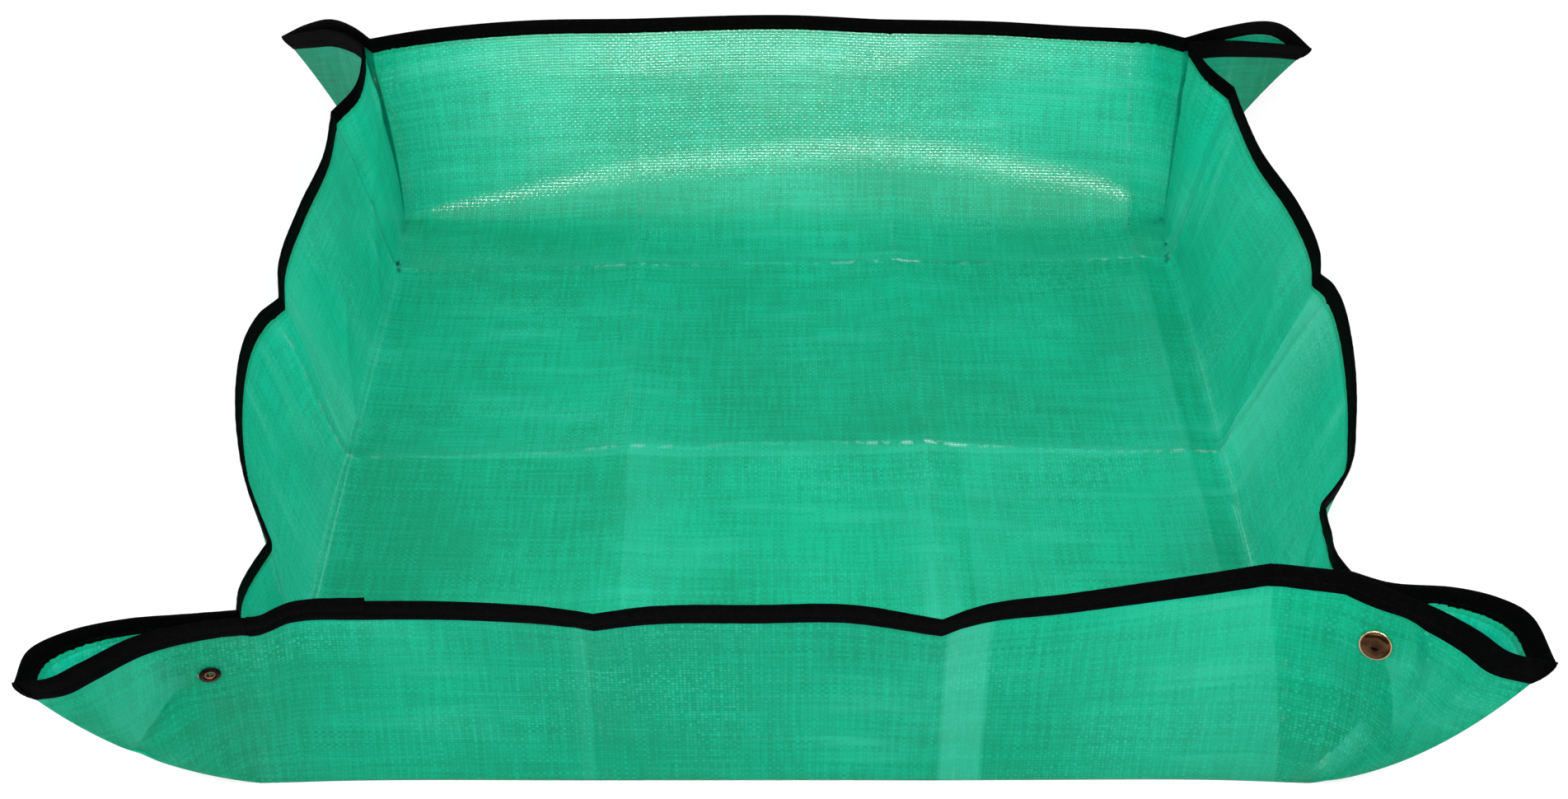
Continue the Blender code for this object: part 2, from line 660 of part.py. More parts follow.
def snap_pieces(ear, flap):
    """The snap of one corner: cap and socket on one ply, stud and eyelet on the other."""
    axis = ear.snap_axis * ear.cap_ply
    side = ear.snap_side
    place = ear.snap_centre
    cap_body = flap if ear.cap_ply == ear.flap_ply else None
    stud_body = None if ear.cap_ply == ear.flap_ply else flap
    brass = (BRASS, 0.35, 1.0)
    steel = (STEEL, 0.35, 1.0)

    cloth_in = SNAP_HALF_SPACE - SHEET_MIDDLE
    cloth_out = SNAP_HALF_SPACE + SHEET_MIDDLE
    seat = cloth_out + FIT_GAP
    socket_base = cloth_in - FIT_GAP
    base_top = socket_base - SNAP_WALL
    socket_top = socket_base - SOCKET_HEIGHT
    cavity = NUB_RADIUS + SPRING_PLAY + SPRING_WIRE + FIT_GAP

    cap = turned_solid(
        "snap_cap_" + ear.name,
        (
            (0, seat + CAP_HEIGHT),
            (CAP_RADIUS * 0.6, seat + CAP_HEIGHT * 0.9),
            (CAP_RADIUS - CAP_RIM, seat + CAP_HEIGHT * 0.62),
            (CAP_RADIUS, seat + CAP_RIM / 2),
            (CAP_RADIUS - CAP_RIM / 2, seat),
            (CAP_POST_RADIUS, seat),
            (CAP_POST_RADIUS, base_top),
            (0, base_top),
        ),
        place, axis, side, brass,
    )
    hang_on(cap, cap_body)
    socket = turned_solid(
        "snap_socket_" + ear.name,
        (
            (CAP_POST_RADIUS + FIT_GAP, socket_base),
            (SOCKET_RADIUS, socket_base),
            (SOCKET_RADIUS, socket_top + SNAP_WALL / 2),
            (SOCKET_RADIUS - SNAP_WALL / 2, socket_top),
            (cavity, socket_top),
            (cavity, base_top),
            (CAP_POST_RADIUS + FIT_GAP, base_top),
        ),
        place, axis, side, steel,
    )
    hang_on(socket, cap_body)
    spring_height = (socket_top + base_top) / 2
    spring = spring_solid(
        "snap_spring_" + ear.name, place + axis * spring_height, axis, side, steel
    )
    hang_on(spring, cap_body)

    flange_face = socket_top - FIT_GAP
    flange_back = flange_face - STUD_FLANGE
    nub_end = base_top - FIT_GAP
    stud = turned_solid(
        "snap_stud_" + ear.name,
        (
            (STUD_RADIUS, flange_back),
            (STUD_RADIUS, flange_face),
            (NUB_RADIUS, flange_face),
            (NUB_RADIUS, nub_end - SNAP_WALL / 2),
            (NUB_RADIUS - SNAP_WALL / 2, nub_end),
            (0, nub_end),
            (0, nub_end - SNAP_WALL),
            (NUB_BORE_RADIUS, nub_end - SNAP_WALL),
            (NUB_BORE_RADIUS, flange_back),
        ),
        place, axis, side, steel,
    )
    hang_on(stud, stud_body)
    eyelet = turned_solid(
        "snap_eyelet_" + ear.name,
        (
            (EYELET_HOLE_RADIUS, -seat - EYELET_HEIGHT * 0.7),
            (EYELET_BARREL_RADIUS, -seat - EYELET_HEIGHT),
            (EYELET_RADIUS * 0.75, -seat - EYELET_HEIGHT),
            (EYELET_RADIUS, -seat - EYELET_HEIGHT / 2),
            (EYELET_RADIUS, -seat),
            (EYELET_BARREL_RADIUS, -seat),
            (EYELET_BARREL_RADIUS, nub_end - SNAP_WALL - FIT_GAP),
            (EYELET_HOLE_RADIUS, nub_end - SNAP_WALL - FIT_GAP),
        ),
        place, axis, side, brass,
    )
    hang_on(eyelet, stud_body)


def pierce(panel, ear):
    """The round hole in a ply that the snap's post passes through."""
    reach = SNAP_HALF_SPACE * 2
    cutter = turned_solid(
        panel.name + "_hole",
        (
            (0, reach),
            (CLOTH_HOLE_RADIUS, reach),
            (CLOTH_HOLE_RADIUS, -reach),
            (0, -reach),
        ),
        ear.snap_centre, ear.snap_axis, ear.snap_side, (STEEL, 0.5, 0.0),
    )
    cutter.hide_render = True
    cutter.display_type = "WIRE"
    hang_on(cutter, panel.parent)
    cut = panel.modifiers.new("post_hole", "BOOLEAN")
    cut.operation = "DIFFERENCE"
    cut.solver = "EXACT"
    cut.object = cutter


def wall_beside(ear, ply, walls):
    """The wall that a ply carries on from."""
    return next(wall for wall in walls.values() if wall.ply == ply and ear in wall.ears)


def ear_columns(up):
    """Shares along an ear's rim: clear of the wall at the neck and of the fold line."""
    clear = PANEL_GAP / (up * WALL_HEIGHT)
    return clear + (1 - 2 * clear) * np.array(EAR_COLUMN_SHARES)


def flap_empty(ear):
    """The empty on a flap's hinge line, which lies along the swelled fold."""
    made = bpy.data.objects.new("flap_hinge_" + ear.name, None)
    made.location = ear.foot + ear.fold_swell
    bpy.context.scene.collection.objects.link(made)
    bpy.context.view_layer.update()
    return made


def build():
    for old in list(bpy.data.objects):
        bpy.data.objects.remove(old, do_unlink=True)

    cloth = (GREEN, 0.35, 0.0)
    tape = (BLACK, 0.8, 0.0)
    ears = {name: Ear(name) for name in CORNERS}
    walls = {name: Wall(name, ears) for name in RIM_SHARES}

    edges = [walls[side].margin + PANEL_GAP for side in ("left", "right", "front", "back")]
    xs = np.array([edges[0] - FLOOR_HALF, 0, FLOOR_HALF - edges[1]])
    ys = np.array([edges[2] - FLOOR_HALF, 0, FLOOR_HALF - edges[3]])
    grid_x, grid_y = np.meshgrid(xs, ys)
    floor = np.stack([grid_x, grid_y, np.full_like(grid_x, SHEET_MIDDLE)], axis=-1)
    sheet_solid("floor_panel", floor, cloth)

    for name, wall in walls.items():
        points = wall.points(wall.columns()[None, :], wall.rows()[:, None])
        sheet_solid(name + "_wall", points, cloth)

    inside_up = 1 - TAPE_DEPTH / WALL_HEIGHT
    ups = np.array(EAR_ROW_SHARES + (inside_up, 1.0))
    flaps = {}
    strips = {}
    for name, ear in ears.items():
        flaps[name] = flap_empty(ear)
        shares = np.stack([ear_columns(up) for up in ups])
        for ply, word in PLY_WORDS.items():
            points = ear.ply_points(shares, ups[:, None], ply)
            peels = ply == ear.flap_ply
            if not peels and wall_beside(ear, ply, walls).ears[0] is ear:
                points = points[:, ::-1]  # its facets are cut the way its tape's are
            panel = sheet_solid(f"ear_{word}_{name}", points, cloth)
            hang_on(panel, flaps[name] if peels else None)
            pierce(panel, ear)
            places = shares[-1][np.array(EAR_COLUMN_SHARES) <= EAR_TAPE_END_SHARE]
            if not peels:
                places[0] = 0
            strips[name, ply] = (
                ear.ply_points(places, np.ones_like(places), ply),
                ear.ply_points(places, np.full_like(places, inside_up), ply),
            )
        snap_pieces(ear, flaps[name])

    for name, wall in walls.items():
        columns = wall.columns()
        rims = wall.points(columns, np.full_like(columns, WALL_HEIGHT))
        insides = wall.points(columns, np.full_like(columns, WALL_HEIGHT - TAPE_DEPTH))
        cut = [ear.flap_ply == wall.ply for ear in wall.ears]
        rims, insides = shortened(rims, insides, *cut)
        ends = [
            (None, None) if apart else strips[ear.name, wall.ply]
            for ear, apart in zip(wall.ears, cut)
        ]
        rims = run_on(rims, ends[0][0], ends[1][0])
        insides = run_on(insides, ends[0][1], ends[1][1])
        tape_solid("binding_" + name, rims, insides, tape)
        outside = wall.world(0, MAT_SIZE, 0) - wall.world(0, 0, 0)
        thread_solid("thread_" + name, rims, insides, outside, tape)

    for name, ear in ears.items():
        rims, insides = shortened(*strips[name, ear.flap_ply], True, False)
        hang_on(tape_solid("ear_binding_" + name, rims, insides, tape), flaps[name])
        outside = ear.snap_axis * ear.flap_ply
        thread = thread_solid("ear_thread_" + name, rims, insides, outside, tape)
        hang_on(thread, flaps[name])


build()
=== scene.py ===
# %% [markdown]
# # A repotting mat in Blender
#
# A repotting mat is a square of green coated cloth with a black bound edge. Its four
# corners are pinched and held by press snaps, so the edges stand up as low walls and
# the mat becomes a tray for soil. The cloth is one piece, and nothing about it is
# stiff: the walls lean and bulge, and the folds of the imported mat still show.
#
# The model follows the cloth. Each place on the flat sheet has a place in the room,
# and one small set of formulas says where. The weave, the folding creases and the
# seams are all drawn in the flat sheet's own measures, so they run on over every bend.

import functools
import math

import bmesh
import bpy
import numpy as np
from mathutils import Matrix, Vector


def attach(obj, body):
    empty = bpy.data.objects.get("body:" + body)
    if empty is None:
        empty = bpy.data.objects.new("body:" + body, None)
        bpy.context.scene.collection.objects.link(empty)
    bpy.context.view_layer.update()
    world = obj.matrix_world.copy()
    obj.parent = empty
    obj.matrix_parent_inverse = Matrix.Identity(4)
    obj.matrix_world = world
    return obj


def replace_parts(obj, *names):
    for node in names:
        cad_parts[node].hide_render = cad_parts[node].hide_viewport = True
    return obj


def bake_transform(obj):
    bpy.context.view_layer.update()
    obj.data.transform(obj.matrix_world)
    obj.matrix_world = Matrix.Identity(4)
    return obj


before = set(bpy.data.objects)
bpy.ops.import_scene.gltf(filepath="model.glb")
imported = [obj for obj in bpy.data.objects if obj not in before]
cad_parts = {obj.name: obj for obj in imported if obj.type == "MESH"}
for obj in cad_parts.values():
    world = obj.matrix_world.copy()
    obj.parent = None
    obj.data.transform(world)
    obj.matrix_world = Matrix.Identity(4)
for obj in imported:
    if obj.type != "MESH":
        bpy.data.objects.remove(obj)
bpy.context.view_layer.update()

# %% [markdown]
# ## The sizes
#
# Everything is in metres, with +Z up and the back wall towards +Y. The flat sheet is
# 0.75 m square. Its outer 125 mm stand up as walls, which leaves a floor 0.50 m square.
# The cloth itself is 0.3 mm thick.

# %% Sizes of the sheet, the tape and the snaps
MM = 0.001
MAT_SIZE = 750 * MM
WALL_HEIGHT = 125 * MM
FLOOR_HALF = MAT_SIZE / 2 - WALL_HEIGHT
SHEET_THICKNESS = 0.3 * MM
SHEET_MIDDLE = 0.25 * MM
PLY_HALF_GAP = 0.2 * MM

TAPE_DEPTH = 9 * MM
SNAP_ACROSS = 15 * MM
SNAP_DROPS = {
    "front_left": 35 * MM,
    "front_right": 29 * MM,
    "back_left": 35 * MM,
    "back_right": 35 * MM,
}
SNAP_HALF_SPACE = 2 * MM
SNAP_FLAT_RADIUS = 16 * MM
SNAP_FLAT_FADE = 14 * MM
print("floor", 2 * FLOOR_HALF, "m across; walls", WALL_HEIGHT, "m high")

# %% [markdown]
# ## The shape of the edges
#
# A soft wall's shape is told well by its rim. These tables give each rim as a few
# places: how far along the wall, how far out and how high, and whether a folding
# crease makes a kink there. The ears, the pinched corners, have tables of their own:
# the middle line of the ear's rim, and half the opening between its two plies.
# All are shares of the wall's height.

# %% The rims of the walls
RIM_SHARES = {
    "front": (
        (-0.965, 0.122, 0.965, False),
        (-0.91, 0.053, 0.960, False),
        (-0.77, 0.030, 0.955, False),
        (-0.45, 0.062, 0.960, False),
        (-0.34, 0.085, 0.940, True),
        (-0.24, 0.070, 0.965, False),
        (-0.05, 0.066, 0.970, False),
        (0.12, 0.062, 0.968, False),
        (0.28, 0.100, 0.930, True),
        (0.36, 0.053, 0.960, False),
        (0.51, 0.002, 0.968, False),
        (0.71, -0.073, 0.976, False),
        (0.87, -0.134, 0.984, True),
    ),
    "back": (
        (-0.96, 0.180, 0.970, False),
        (-0.88, 0.300, 0.940, False),
        (-0.66, 0.444, 0.912, False),
        (-0.40, 0.478, 0.905, True),
        (0.00, 0.496, 0.917, False),
        (0.25, 0.478, 0.902, True),
        (0.55, 0.430, 0.914, False),
        (0.74, 0.374, 0.918, False),
        (0.85, 0.350, 0.920, True),
        (0.94, 0.250, 0.958, False),
    ),
    "left": (
        (-0.90, -0.036, 0.900, False),
        (-0.74, -0.055, 0.810, True),
        (-0.60, 0.080, 0.900, False),
        (-0.32, 0.210, 0.952, False),
        (-0.08, 0.226, 0.890, False),
        (0.01, 0.180, 0.848, True),
        (0.12, 0.214, 0.880, False),
        (0.34, 0.205, 0.888, False),
        (0.58, 0.165, 0.896, False),
        (0.75, 0.190, 0.915, True),
        (0.82, 0.100, 0.960, False),
        (0.92, 0.085, 0.990, False),
    ),
    "right": (
        (-0.93, 0.004, 0.972, False),
        (-0.78, 0.054, 0.860, False),
        (-0.68, 0.070, 0.832, True),
        (-0.61, 0.180, 0.885, False),
        (-0.49, 0.250, 0.920, False),
        (-0.14, 0.360, 0.936, False),
        (0.02, 0.370, 0.900, False),
        (0.09, 0.343, 0.864, True),
        (0.17, 0.366, 0.880, False),
        (0.35, 0.338, 0.896, False),
        (0.58, 0.246, 0.904, False),
        (0.85, 0.205, 0.936, True),
        (0.91, 0.100, 0.980, False),
    ),
}
BEND_SHARES = {
    "front": ((-1, 0), (-0.8, 0.026), (-0.4, 0.030), (0.4, 0.030), (0.8, 0.026), (1, 0)),
    "back": (
        (-1, 0), (-0.9, 0.12), (-0.675, 0.30), (-0.39, 0.55), (-0.11, 0.68), (0.24, 0.80),
        (0.405, 0.72), (0.605, 0.58), (0.845, 0.36), (0.94, 0.17), (1, 0),
    ),
    "left": ((-1, 0), (-0.8, 0.066), (-0.4, 0.075), (0.4, 0.075), (0.8, 0.066), (1, 0)),
    "right": ((-1, 0), (-0.8, 0.070), (-0.4, 0.080), (0.4, 0.080), (0.8, 0.070), (1, 0)),
}
BEND_KINKS = (0.24,)
MARGIN_SHARES = {"front": 0.07, "back": 0.50, "left": 0.07, "right": 0.07}
print("rim places:", {name: len(rows) for name, rows in RIM_SHARES.items()})

# %% [markdown]
# Each corner has two plies: the inner one goes on from a side wall, the outer one from
# the front or the back wall. On the real mat the snap's cap sits on either, and the ply
# that is easier to lift peels off.

# %% The corners and their ears: sides, and which ply wears the cap and which peels
CORNERS = {
    "front_left": (-1, -1, -1, 1),
    "front_right": (1, -1, 1, 1),
    "back_left": (-1, 1, 1, -1),
    "back_right": (1, 1, -1, -1),
}
PLY_WORDS = {-1: "inner", 1: "outer"}
EAR_SHARES = {
    "front_left": (
        (0.00, (-0.088, 0.128, 0.988), (-0.004, 0.018, 0.000)),
        (0.165, (0.072, 0.156, 0.992), (-0.006, 0.018, -0.004)),
        (0.38, (0.260, 0.224, 1.012), (-0.020, 0.040, -0.004)),
        (0.60, (0.420, 0.336, 1.030), (-0.044, 0.088, 0.010)),
        (0.77, (0.500, 0.448, 1.062), (-0.052, 0.072, 0.002)),
        (1.00, (0.544, 0.576, 1.096), (0.000, 0.000, 0.000)),
    ),
    "front_right": (
        (0.00, (0.020, -0.076, 1.005), (-0.004, 0.010, 0.010)),
        (0.13, (0.144, -0.008, 1.000), (-0.005, 0.012, 0.000)),
        (0.34, (0.332, 0.070, 1.006), (-0.044, 0.074, 0.014)),
        (0.54, (0.440, 0.184, 1.040), (-0.062, 0.096, 0.012)),
        (0.76, (0.504, 0.332, 1.084), (-0.062, 0.092, 0.004)),
        (1.00, (0.556, 0.520, 1.136), (0.000, 0.000, 0.000)),
    ),
    "back_left": (
        (0.00, (0.088, 0.030, 1.010), (-0.015, 0.022, 0.004)),
        (0.17, (0.180, 0.140, 1.010), (-0.012, 0.020, 0.012)),
        (0.42, (0.328, 0.328, 0.950), (-0.008, 0.022, 0.018)),
        (0.70, (0.496, 0.520, 0.828), (0.000, 0.020, 0.012)),
        (1.00, (0.672, 0.720, 0.680), (0.000, 0.000, 0.000)),
    ),
    "back_right": (
        (0.00, (0.016, 0.030, 1.020), (-0.011, 0.022, 0.000)),
        (0.23, (0.208, 0.124, 1.004), (-0.006, 0.018, 0.026)),
        (0.58, (0.472, 0.336, 0.904), (0.006, 0.024, 0.048)),
        (0.78, (0.616, 0.460, 0.816), (0.000, 0.022, 0.038)),
        (1.00, (0.776, 0.568, 0.688), (0.000, 0.000, 0.000)),
    ),
}
CORNER_SWELL_SHARES = {
    "front_left": (0.000, 0.000, 0.000),
    "front_right": (0.012, 0.070, 0.000),
    "back_left": (-0.020, 0.000, 0.000),
    "back_right": (0.000, 0.000, 0.000),
}
FOLD_SWELL_SHARES = {
    "front_left": (0.034, 0.044, -0.036),
    "front_right": (0.008, 0.058, -0.060),
    "back_left": (0.000, 0.032, 0.048),
    "back_right": (0.000, 0.040, 0.056),
}
print("ears:", ", ".join(CORNERS))

# %% [markdown]
# ## A curve through a few measured places
#
# A rim runs smoothly through its table's places, but a folding crease makes it turn
# sharply. A cubic between each pair of places does both: at a smooth place both sides
# take the mean of the two chords as their slope, and at a kink each keeps its own.


# %% Curves and directions
def unit(vectors):
    """Each vector divided by its own length."""
    return vectors / np.linalg.norm(vectors, axis=-1, keepdims=True)


def paired(first, second):
    """Two arrays of numbers brought to one common shape."""
    return np.broadcast_arrays(np.asarray(first, float), np.asarray(second, float))


def ease(share):
    """3 s squared minus 2 s cubed, with s held between 0 and 1: a soft step."""
    share = np.clip(share, 0, 1)
    return share * share * (3 - 2 * share)


def curve_through(knots, values, kinks, where):
    """Cubic between each pair of knots; slopes are the mean chord, or at a kink its own."""
    knots = np.asarray(knots, float)
    values = np.asarray(values, float)
    chords = np.diff(values, axis=0) / np.diff(knots)[:, None]
    before = np.vstack([chords[:1], chords])
    after = np.vstack([chords, chords[-1:]])
    mean = (before + after) / 2
    sharp = np.asarray(kinks, bool)[:, None]
    slope_in = np.where(sharp, before, mean)
    slope_out = np.where(sharp, after, mean)
    where = np.asarray(where, float)
    span = np.clip(np.searchsorted(knots, where, side="right") - 1, 0, len(knots) - 2)
    width = (knots[span + 1] - knots[span])[..., None]
    t = (where[..., None] - knots[span][..., None]) / width
    rise = t * t * (3 - 2 * t)
    return (
        values[span] * (1 - rise)
        + values[span + 1] * rise
        + slope_out[span] * width * t * (1 - t) ** 2
        - slope_in[span + 1] * width * t * t * (1 - t)
    )


def corner_bow(up):
    """27/4 times up times (1 - up) squared: a hump of 1 at a third of the height."""
    return 27 / 4 * up * (1 - up) ** 2


halfway = curve_through((0, 1, 2), ((0,), (1,), (0,)), (False, True, False), [0.5, 1.0])
print("test curve half way and at its kink:", halfway[:, 0].round(3))

# %% [markdown]
# ## The ears
#
# Pinching a corner folds its square of cloth along the diagonal into two triangular
# plies. Each ply is nearly a cone: straight lines of cloth run from the floor's corner
# to the rim. So one formula gives both plies: walk from the foot towards a place on
# the rim, and add a little swell. Round the snap the cloth is clenched flat.


# %% The cone of cloth at a corner
RIM_STEP = 4 * MM
SNAP_STEP = 0.6 * MM


class Ear:
    """One pinched corner, made of two plies that meet at a diagonal fold."""

    def __init__(self, name):
        self.name = name
        self.side_x, self.side_y, self.cap_ply, self.flap_ply = CORNERS[name]
        rows = EAR_SHARES[name]
        self.knots = [row[0] for row in rows]
        self.middles = [row[1] for row in rows]
        self.openings = [row[2] for row in rows]
        self.foot = np.array([self.side_x * FLOOR_HALF, self.side_y * FLOOR_HALF, SHEET_MIDDLE])
        self.snap_up = WALL_HEIGHT - SNAP_DROPS[name]
        self.corner_swell = self.world(CORNER_SWELL_SHARES[name])
        self.fold_swell = self.world(FOLD_SWELL_SHARES[name])
        self.tip = self.foot + self.rim(np.array(1.0), 0)
        self.set_snap_frame()

    def world(self, shares):
        """Shares of the wall's height, outwards from the corner, as a world vector."""
        turn = np.array([self.side_x, self.side_y, 1.0])
        return np.asarray(shares, float) * turn * WALL_HEIGHT

    def rim(self, along, ply):
        """Middle line plus ply times half the opening, measured from the foot."""
        smooth = [False] * len(self.knots)
        middle = curve_through(self.knots, self.middles, smooth, along)
        opening = curve_through(self.knots, self.openings, smooth, along)
        return self.world(middle + ply * opening)

    def across(self, along):
        """Cross product of the rim's direction and the line to it, as a unit vector."""
        step = RIM_STEP / WALL_HEIGHT
        back = np.clip(along - step, 0, 1)
        ahead = np.clip(along + step, 0, 1)
        tangent = self.rim(ahead, 0) - self.rim(back, 0)
        normal = unit(np.cross(tangent, self.rim(along, 0)))
        return normal * -self.side_x * self.side_y

    def cone(self, along, up, ply):
        """Foot plus up times the rim, plus the corner line's and the fold's swells."""
        along, up = paired(along, up)
        swell = ((1 - along) * corner_bow(up))[..., None] * self.corner_swell
        swell = swell + (along * 4 * up * (1 - up))[..., None] * self.fold_swell
        spread = ply * PLY_HALF_GAP * self.across(along) * (1 - along)[..., None]
        return self.foot + up[..., None] * (self.rim(along, ply) + spread) + swell

    def set_snap_frame(self):
        """The snap's centre and axis, square to the middle of the ear."""
        up = self.snap_up / WALL_HEIGHT
        along = SNAP_ACROSS / self.snap_up
        step = SNAP_STEP / WALL_HEIGHT
        ends = self.cone(np.array([along - step, along + step]), np.array([up, up]), 0)
        rises = self.cone(np.array([along, along]), np.array([up - step, up + step]), 0)
        self.snap_centre = self.cone(np.array([along]), np.array([up]), 0)[0]
        axis = unit(np.cross(ends[1] - ends[0], rises[1] - rises[0]))
        self.snap_axis = axis if axis @ self.across(np.array(along)) > 0 else -axis
        self.snap_side = unit(ends[1] - ends[0])

    def pressed(self, points, across, up, ply):
        """Points drawn onto the snap's flat seat by a soft step of their distance."""
        reach = np.hypot(across - SNAP_ACROSS, up - self.snap_up)
        pull = ease(1 - (reach - SNAP_FLAT_RADIUS) / SNAP_FLAT_FADE)[..., None]
        seat = self.snap_centre + ply * SNAP_HALF_SPACE * self.snap_axis
        off = ((seat - points) @ self.snap_axis)[..., None]
        return points + pull * off * self.snap_axis

    def ply_points(self, along, up, ply):
        """The cone, flat where the snap is clenched."""
        along, up = paired(along, up)
        height = up * WALL_HEIGHT
        return self.pressed(self.cone(along, up, ply), along * height, height, ply)

    def flat(self, along, up, ply):
        """Where a place of a ply lies on the flat sheet: one side runs up, one across."""
        rise = np.asarray(up * WALL_HEIGHT, float)
        across = along * rise
        out_x, out_y = (across, rise) if ply > 0 else (rise, across)
        return np.stack(
            [self.side_x * (FLOOR_HALF + out_x), self.side_y * (FLOOR_HALF + out_y)], axis=-1
        )


ears = {name: Ear(name) for name in CORNERS}
print("snap centres:", {name: ear.snap_centre.round(3).tolist() for name, ear in ears.items()})

# %% [markdown]
# ## The walls
#
# A wall leaves the floor in a bend and then runs straight to its rim. The bend is an
# arc, wide at the back wall, which leans far out, and tight at the others. Towards the
# corners it tightens to nothing, because the pinched corner pulls the cloth taut.


# %% A wall from the floor to the rim
class Wall:
    """One wall: rise runs up from the fold line, and share runs from -1 to 1 along it."""

    def __init__(self, name):
        self.name = name
        self.lies_x = name in ("front", "back")
        self.ply = 1 if self.lies_x else -1
        self.out = -1 if name in ("front", "left") else 1
        first, last = {
            "front": ("front_left", "front_right"),
            "back": ("back_left", "back_right"),
            "left": ("front_left", "back_left"),
            "right": ("front_right", "back_right"),
        }[name]
        self.ears = (ears[first], ears[last])
        around = ("left", "right") if self.lies_x else ("front", "back")
        self.margin = MARGIN_SHARES[name] * WALL_HEIGHT
        self.end_margins = [MARGIN_SHARES[other] * WALL_HEIGHT for other in around]
        necks = [
            self.local(ear.cone(np.array(0.0), np.array(1.0), self.ply) - ear.foot)
            for ear in self.ears
        ]
        self.end_drift = [neck[0] for neck in necks]
        self.end_swell = [self.local(ear.corner_swell) for ear in self.ears]
        rows = RIM_SHARES[name]
        ends = [(neck[1] / WALL_HEIGHT, neck[2] / WALL_HEIGHT) for neck in necks]
        self.knots = [-1.0] + [row[0] for row in rows] + [1.0]
        self.rims = [ends[0]] + [(row[1], row[2]) for row in rows] + [ends[1]]
        self.kinks = [False] + [row[3] for row in rows] + [False]

    def local(self, vector):
        """A world vector as (along the wall, outwards, up)."""
        along, out = (vector[0], vector[1]) if self.lies_x else (vector[1], vector[0])
        return np.array([along, out * self.out, vector[2]])

    def world(self, along, out, up):
        """Places along, outwards of the floor's edge and up, as world points."""
        out = self.out * (FLOOR_HALF + out)
        pair = (along, out) if self.lies_x else (out, along)
        return np.stack([pair[0], pair[1], up + SHEET_MIDDLE], axis=-1)

    def profile(self, share, rise):
        """Floor, then an arc of the bend's radius, then a straight line to the rim."""
        rim = curve_through(self.knots, self.rims, self.kinks, share) * WALL_HEIGHT
        lean = np.arctan2(rim[..., 1], rim[..., 0])
        length = np.hypot(rim[..., 0], rim[..., 1])
        knots = [row[0] for row in BEND_SHARES[self.name]]
        values = [row[1:] for row in BEND_SHARES[self.name]]
        bends = curve_through(knots, values, [knot in BEND_KINKS for knot in knots], share)
        radius = WALL_HEIGHT * np.maximum(bends[..., 0], 0)
        setback = radius * np.tan(lean / 2)
        whole = radius * lean + length - setback
        run = (rise + setback) * whole / (WALL_HEIGHT + setback)
        turn = np.clip(run / np.maximum(radius, SHEET_MIDDLE * MM), 0, lean)
        past = np.maximum(run - radius * lean, 0)
        out = radius * np.sin(turn) - setback + past * np.cos(lean)
        up = radius * (1 - np.cos(turn)) + past * np.sin(lean)
        on_floor = run < 0
        return np.where(on_floor, rise, out), np.where(on_floor, 0, up)

    def place(self, share, rise):
        """How far along the wall a share is: the floor margin narrows in a mitre."""
        below = np.minimum(rise, 0) / self.margin
        ends = [FLOOR_HALF + below * end for end in self.end_margins]
        return share * np.where(share < 0, ends[0], ends[1])

    def points(self, share, rise):
        """The profile at each place, with the ends drawn to the corner lines."""
        share, rise = paired(share, rise)
        place = self.place(share, rise)
        out, up = self.profile(place / FLOOR_HALF, rise)
        height = np.clip(rise / WALL_HEIGHT, 0, 1)
        bow = corner_bow(height)
        pulls = [np.clip(-share, 0, 1) ** 3, np.clip(share, 0, 1) ** 3]
        along = place
        for pull, drift, swell in zip(pulls, self.end_drift, self.end_swell):
            along = along + pull * (height * drift + bow * swell[0])
            out = out + pull * bow * swell[1]
            up = up + pull * bow * swell[2]
        made = self.world(along, out, up)
        for ear, end in zip(self.ears, (-1, 1)):
            made = ear.pressed(made, end * place - FLOOR_HALF, rise, self.ply)
        return made

    def flat(self, share, rise):
        """Where a place of the wall lies on the flat sheet."""
        share, rise = paired(share, rise)
        place = self.place(share, rise)
        out = self.out * (FLOOR_HALF + rise)
        pair = (place, out) if self.lies_x else (out, place)
        return np.stack(pair, axis=-1)


walls = {name: Wall(name) for name in RIM_SHARES}
print("back rim at its middle:", walls["back"].points(0.0, WALL_HEIGHT).round(3))

# %% [markdown]
# ## Creases and slack
#
# The mat is sold folded. Four folding lines run from front to back and three from side
# to side. On each the cloth stands a little proud, and between them the slack cloth
# lies in broad, shallow waves. Both are added along the surface's own normal, as a height over
# the flat sheet, and fade out at the floor's edges and corner lines, where the cloth
# is pulled taut.

# %% The folding lines
CREASES_ACROSS_X = (
    # x at the middle, then how far it drifts by the back, by the front fold, by the front rim
    (-0.2465, 0.000, 0.000, 0.0040),
    (-0.0880, -0.006, 0.0055, -0.0055),
    (0.0808, -0.012, -0.0018, -0.0018),
    (0.2285, -0.005, 0.0050, -0.0050),
)
CREASES_ACROSS_Y = (
    # y at the middle, then how far it drifts by the left, by the right
    (-0.1875, 0.000, 0.000),
    (0.0070, -0.016, -0.009),
    (0.1890, -0.008, 0.006),
)
DRIFT_REACH = 0.24
RIM_REACH = 0.125
RIDGE_POWER = 1.6
CREASE_HEIGHT = 0.6 * MM
CREASE_REACH = 6 * MM
FACET_HEIGHT = 2.2 * MM
FACET_REACH = 38 * MM
def tent(distance, reach):
    """A ridge: 1 on the line, falling to 0 at its reach with a soft foot."""
    return np.clip(1 - np.abs(distance) / reach, 0, 1) ** RIDGE_POWER


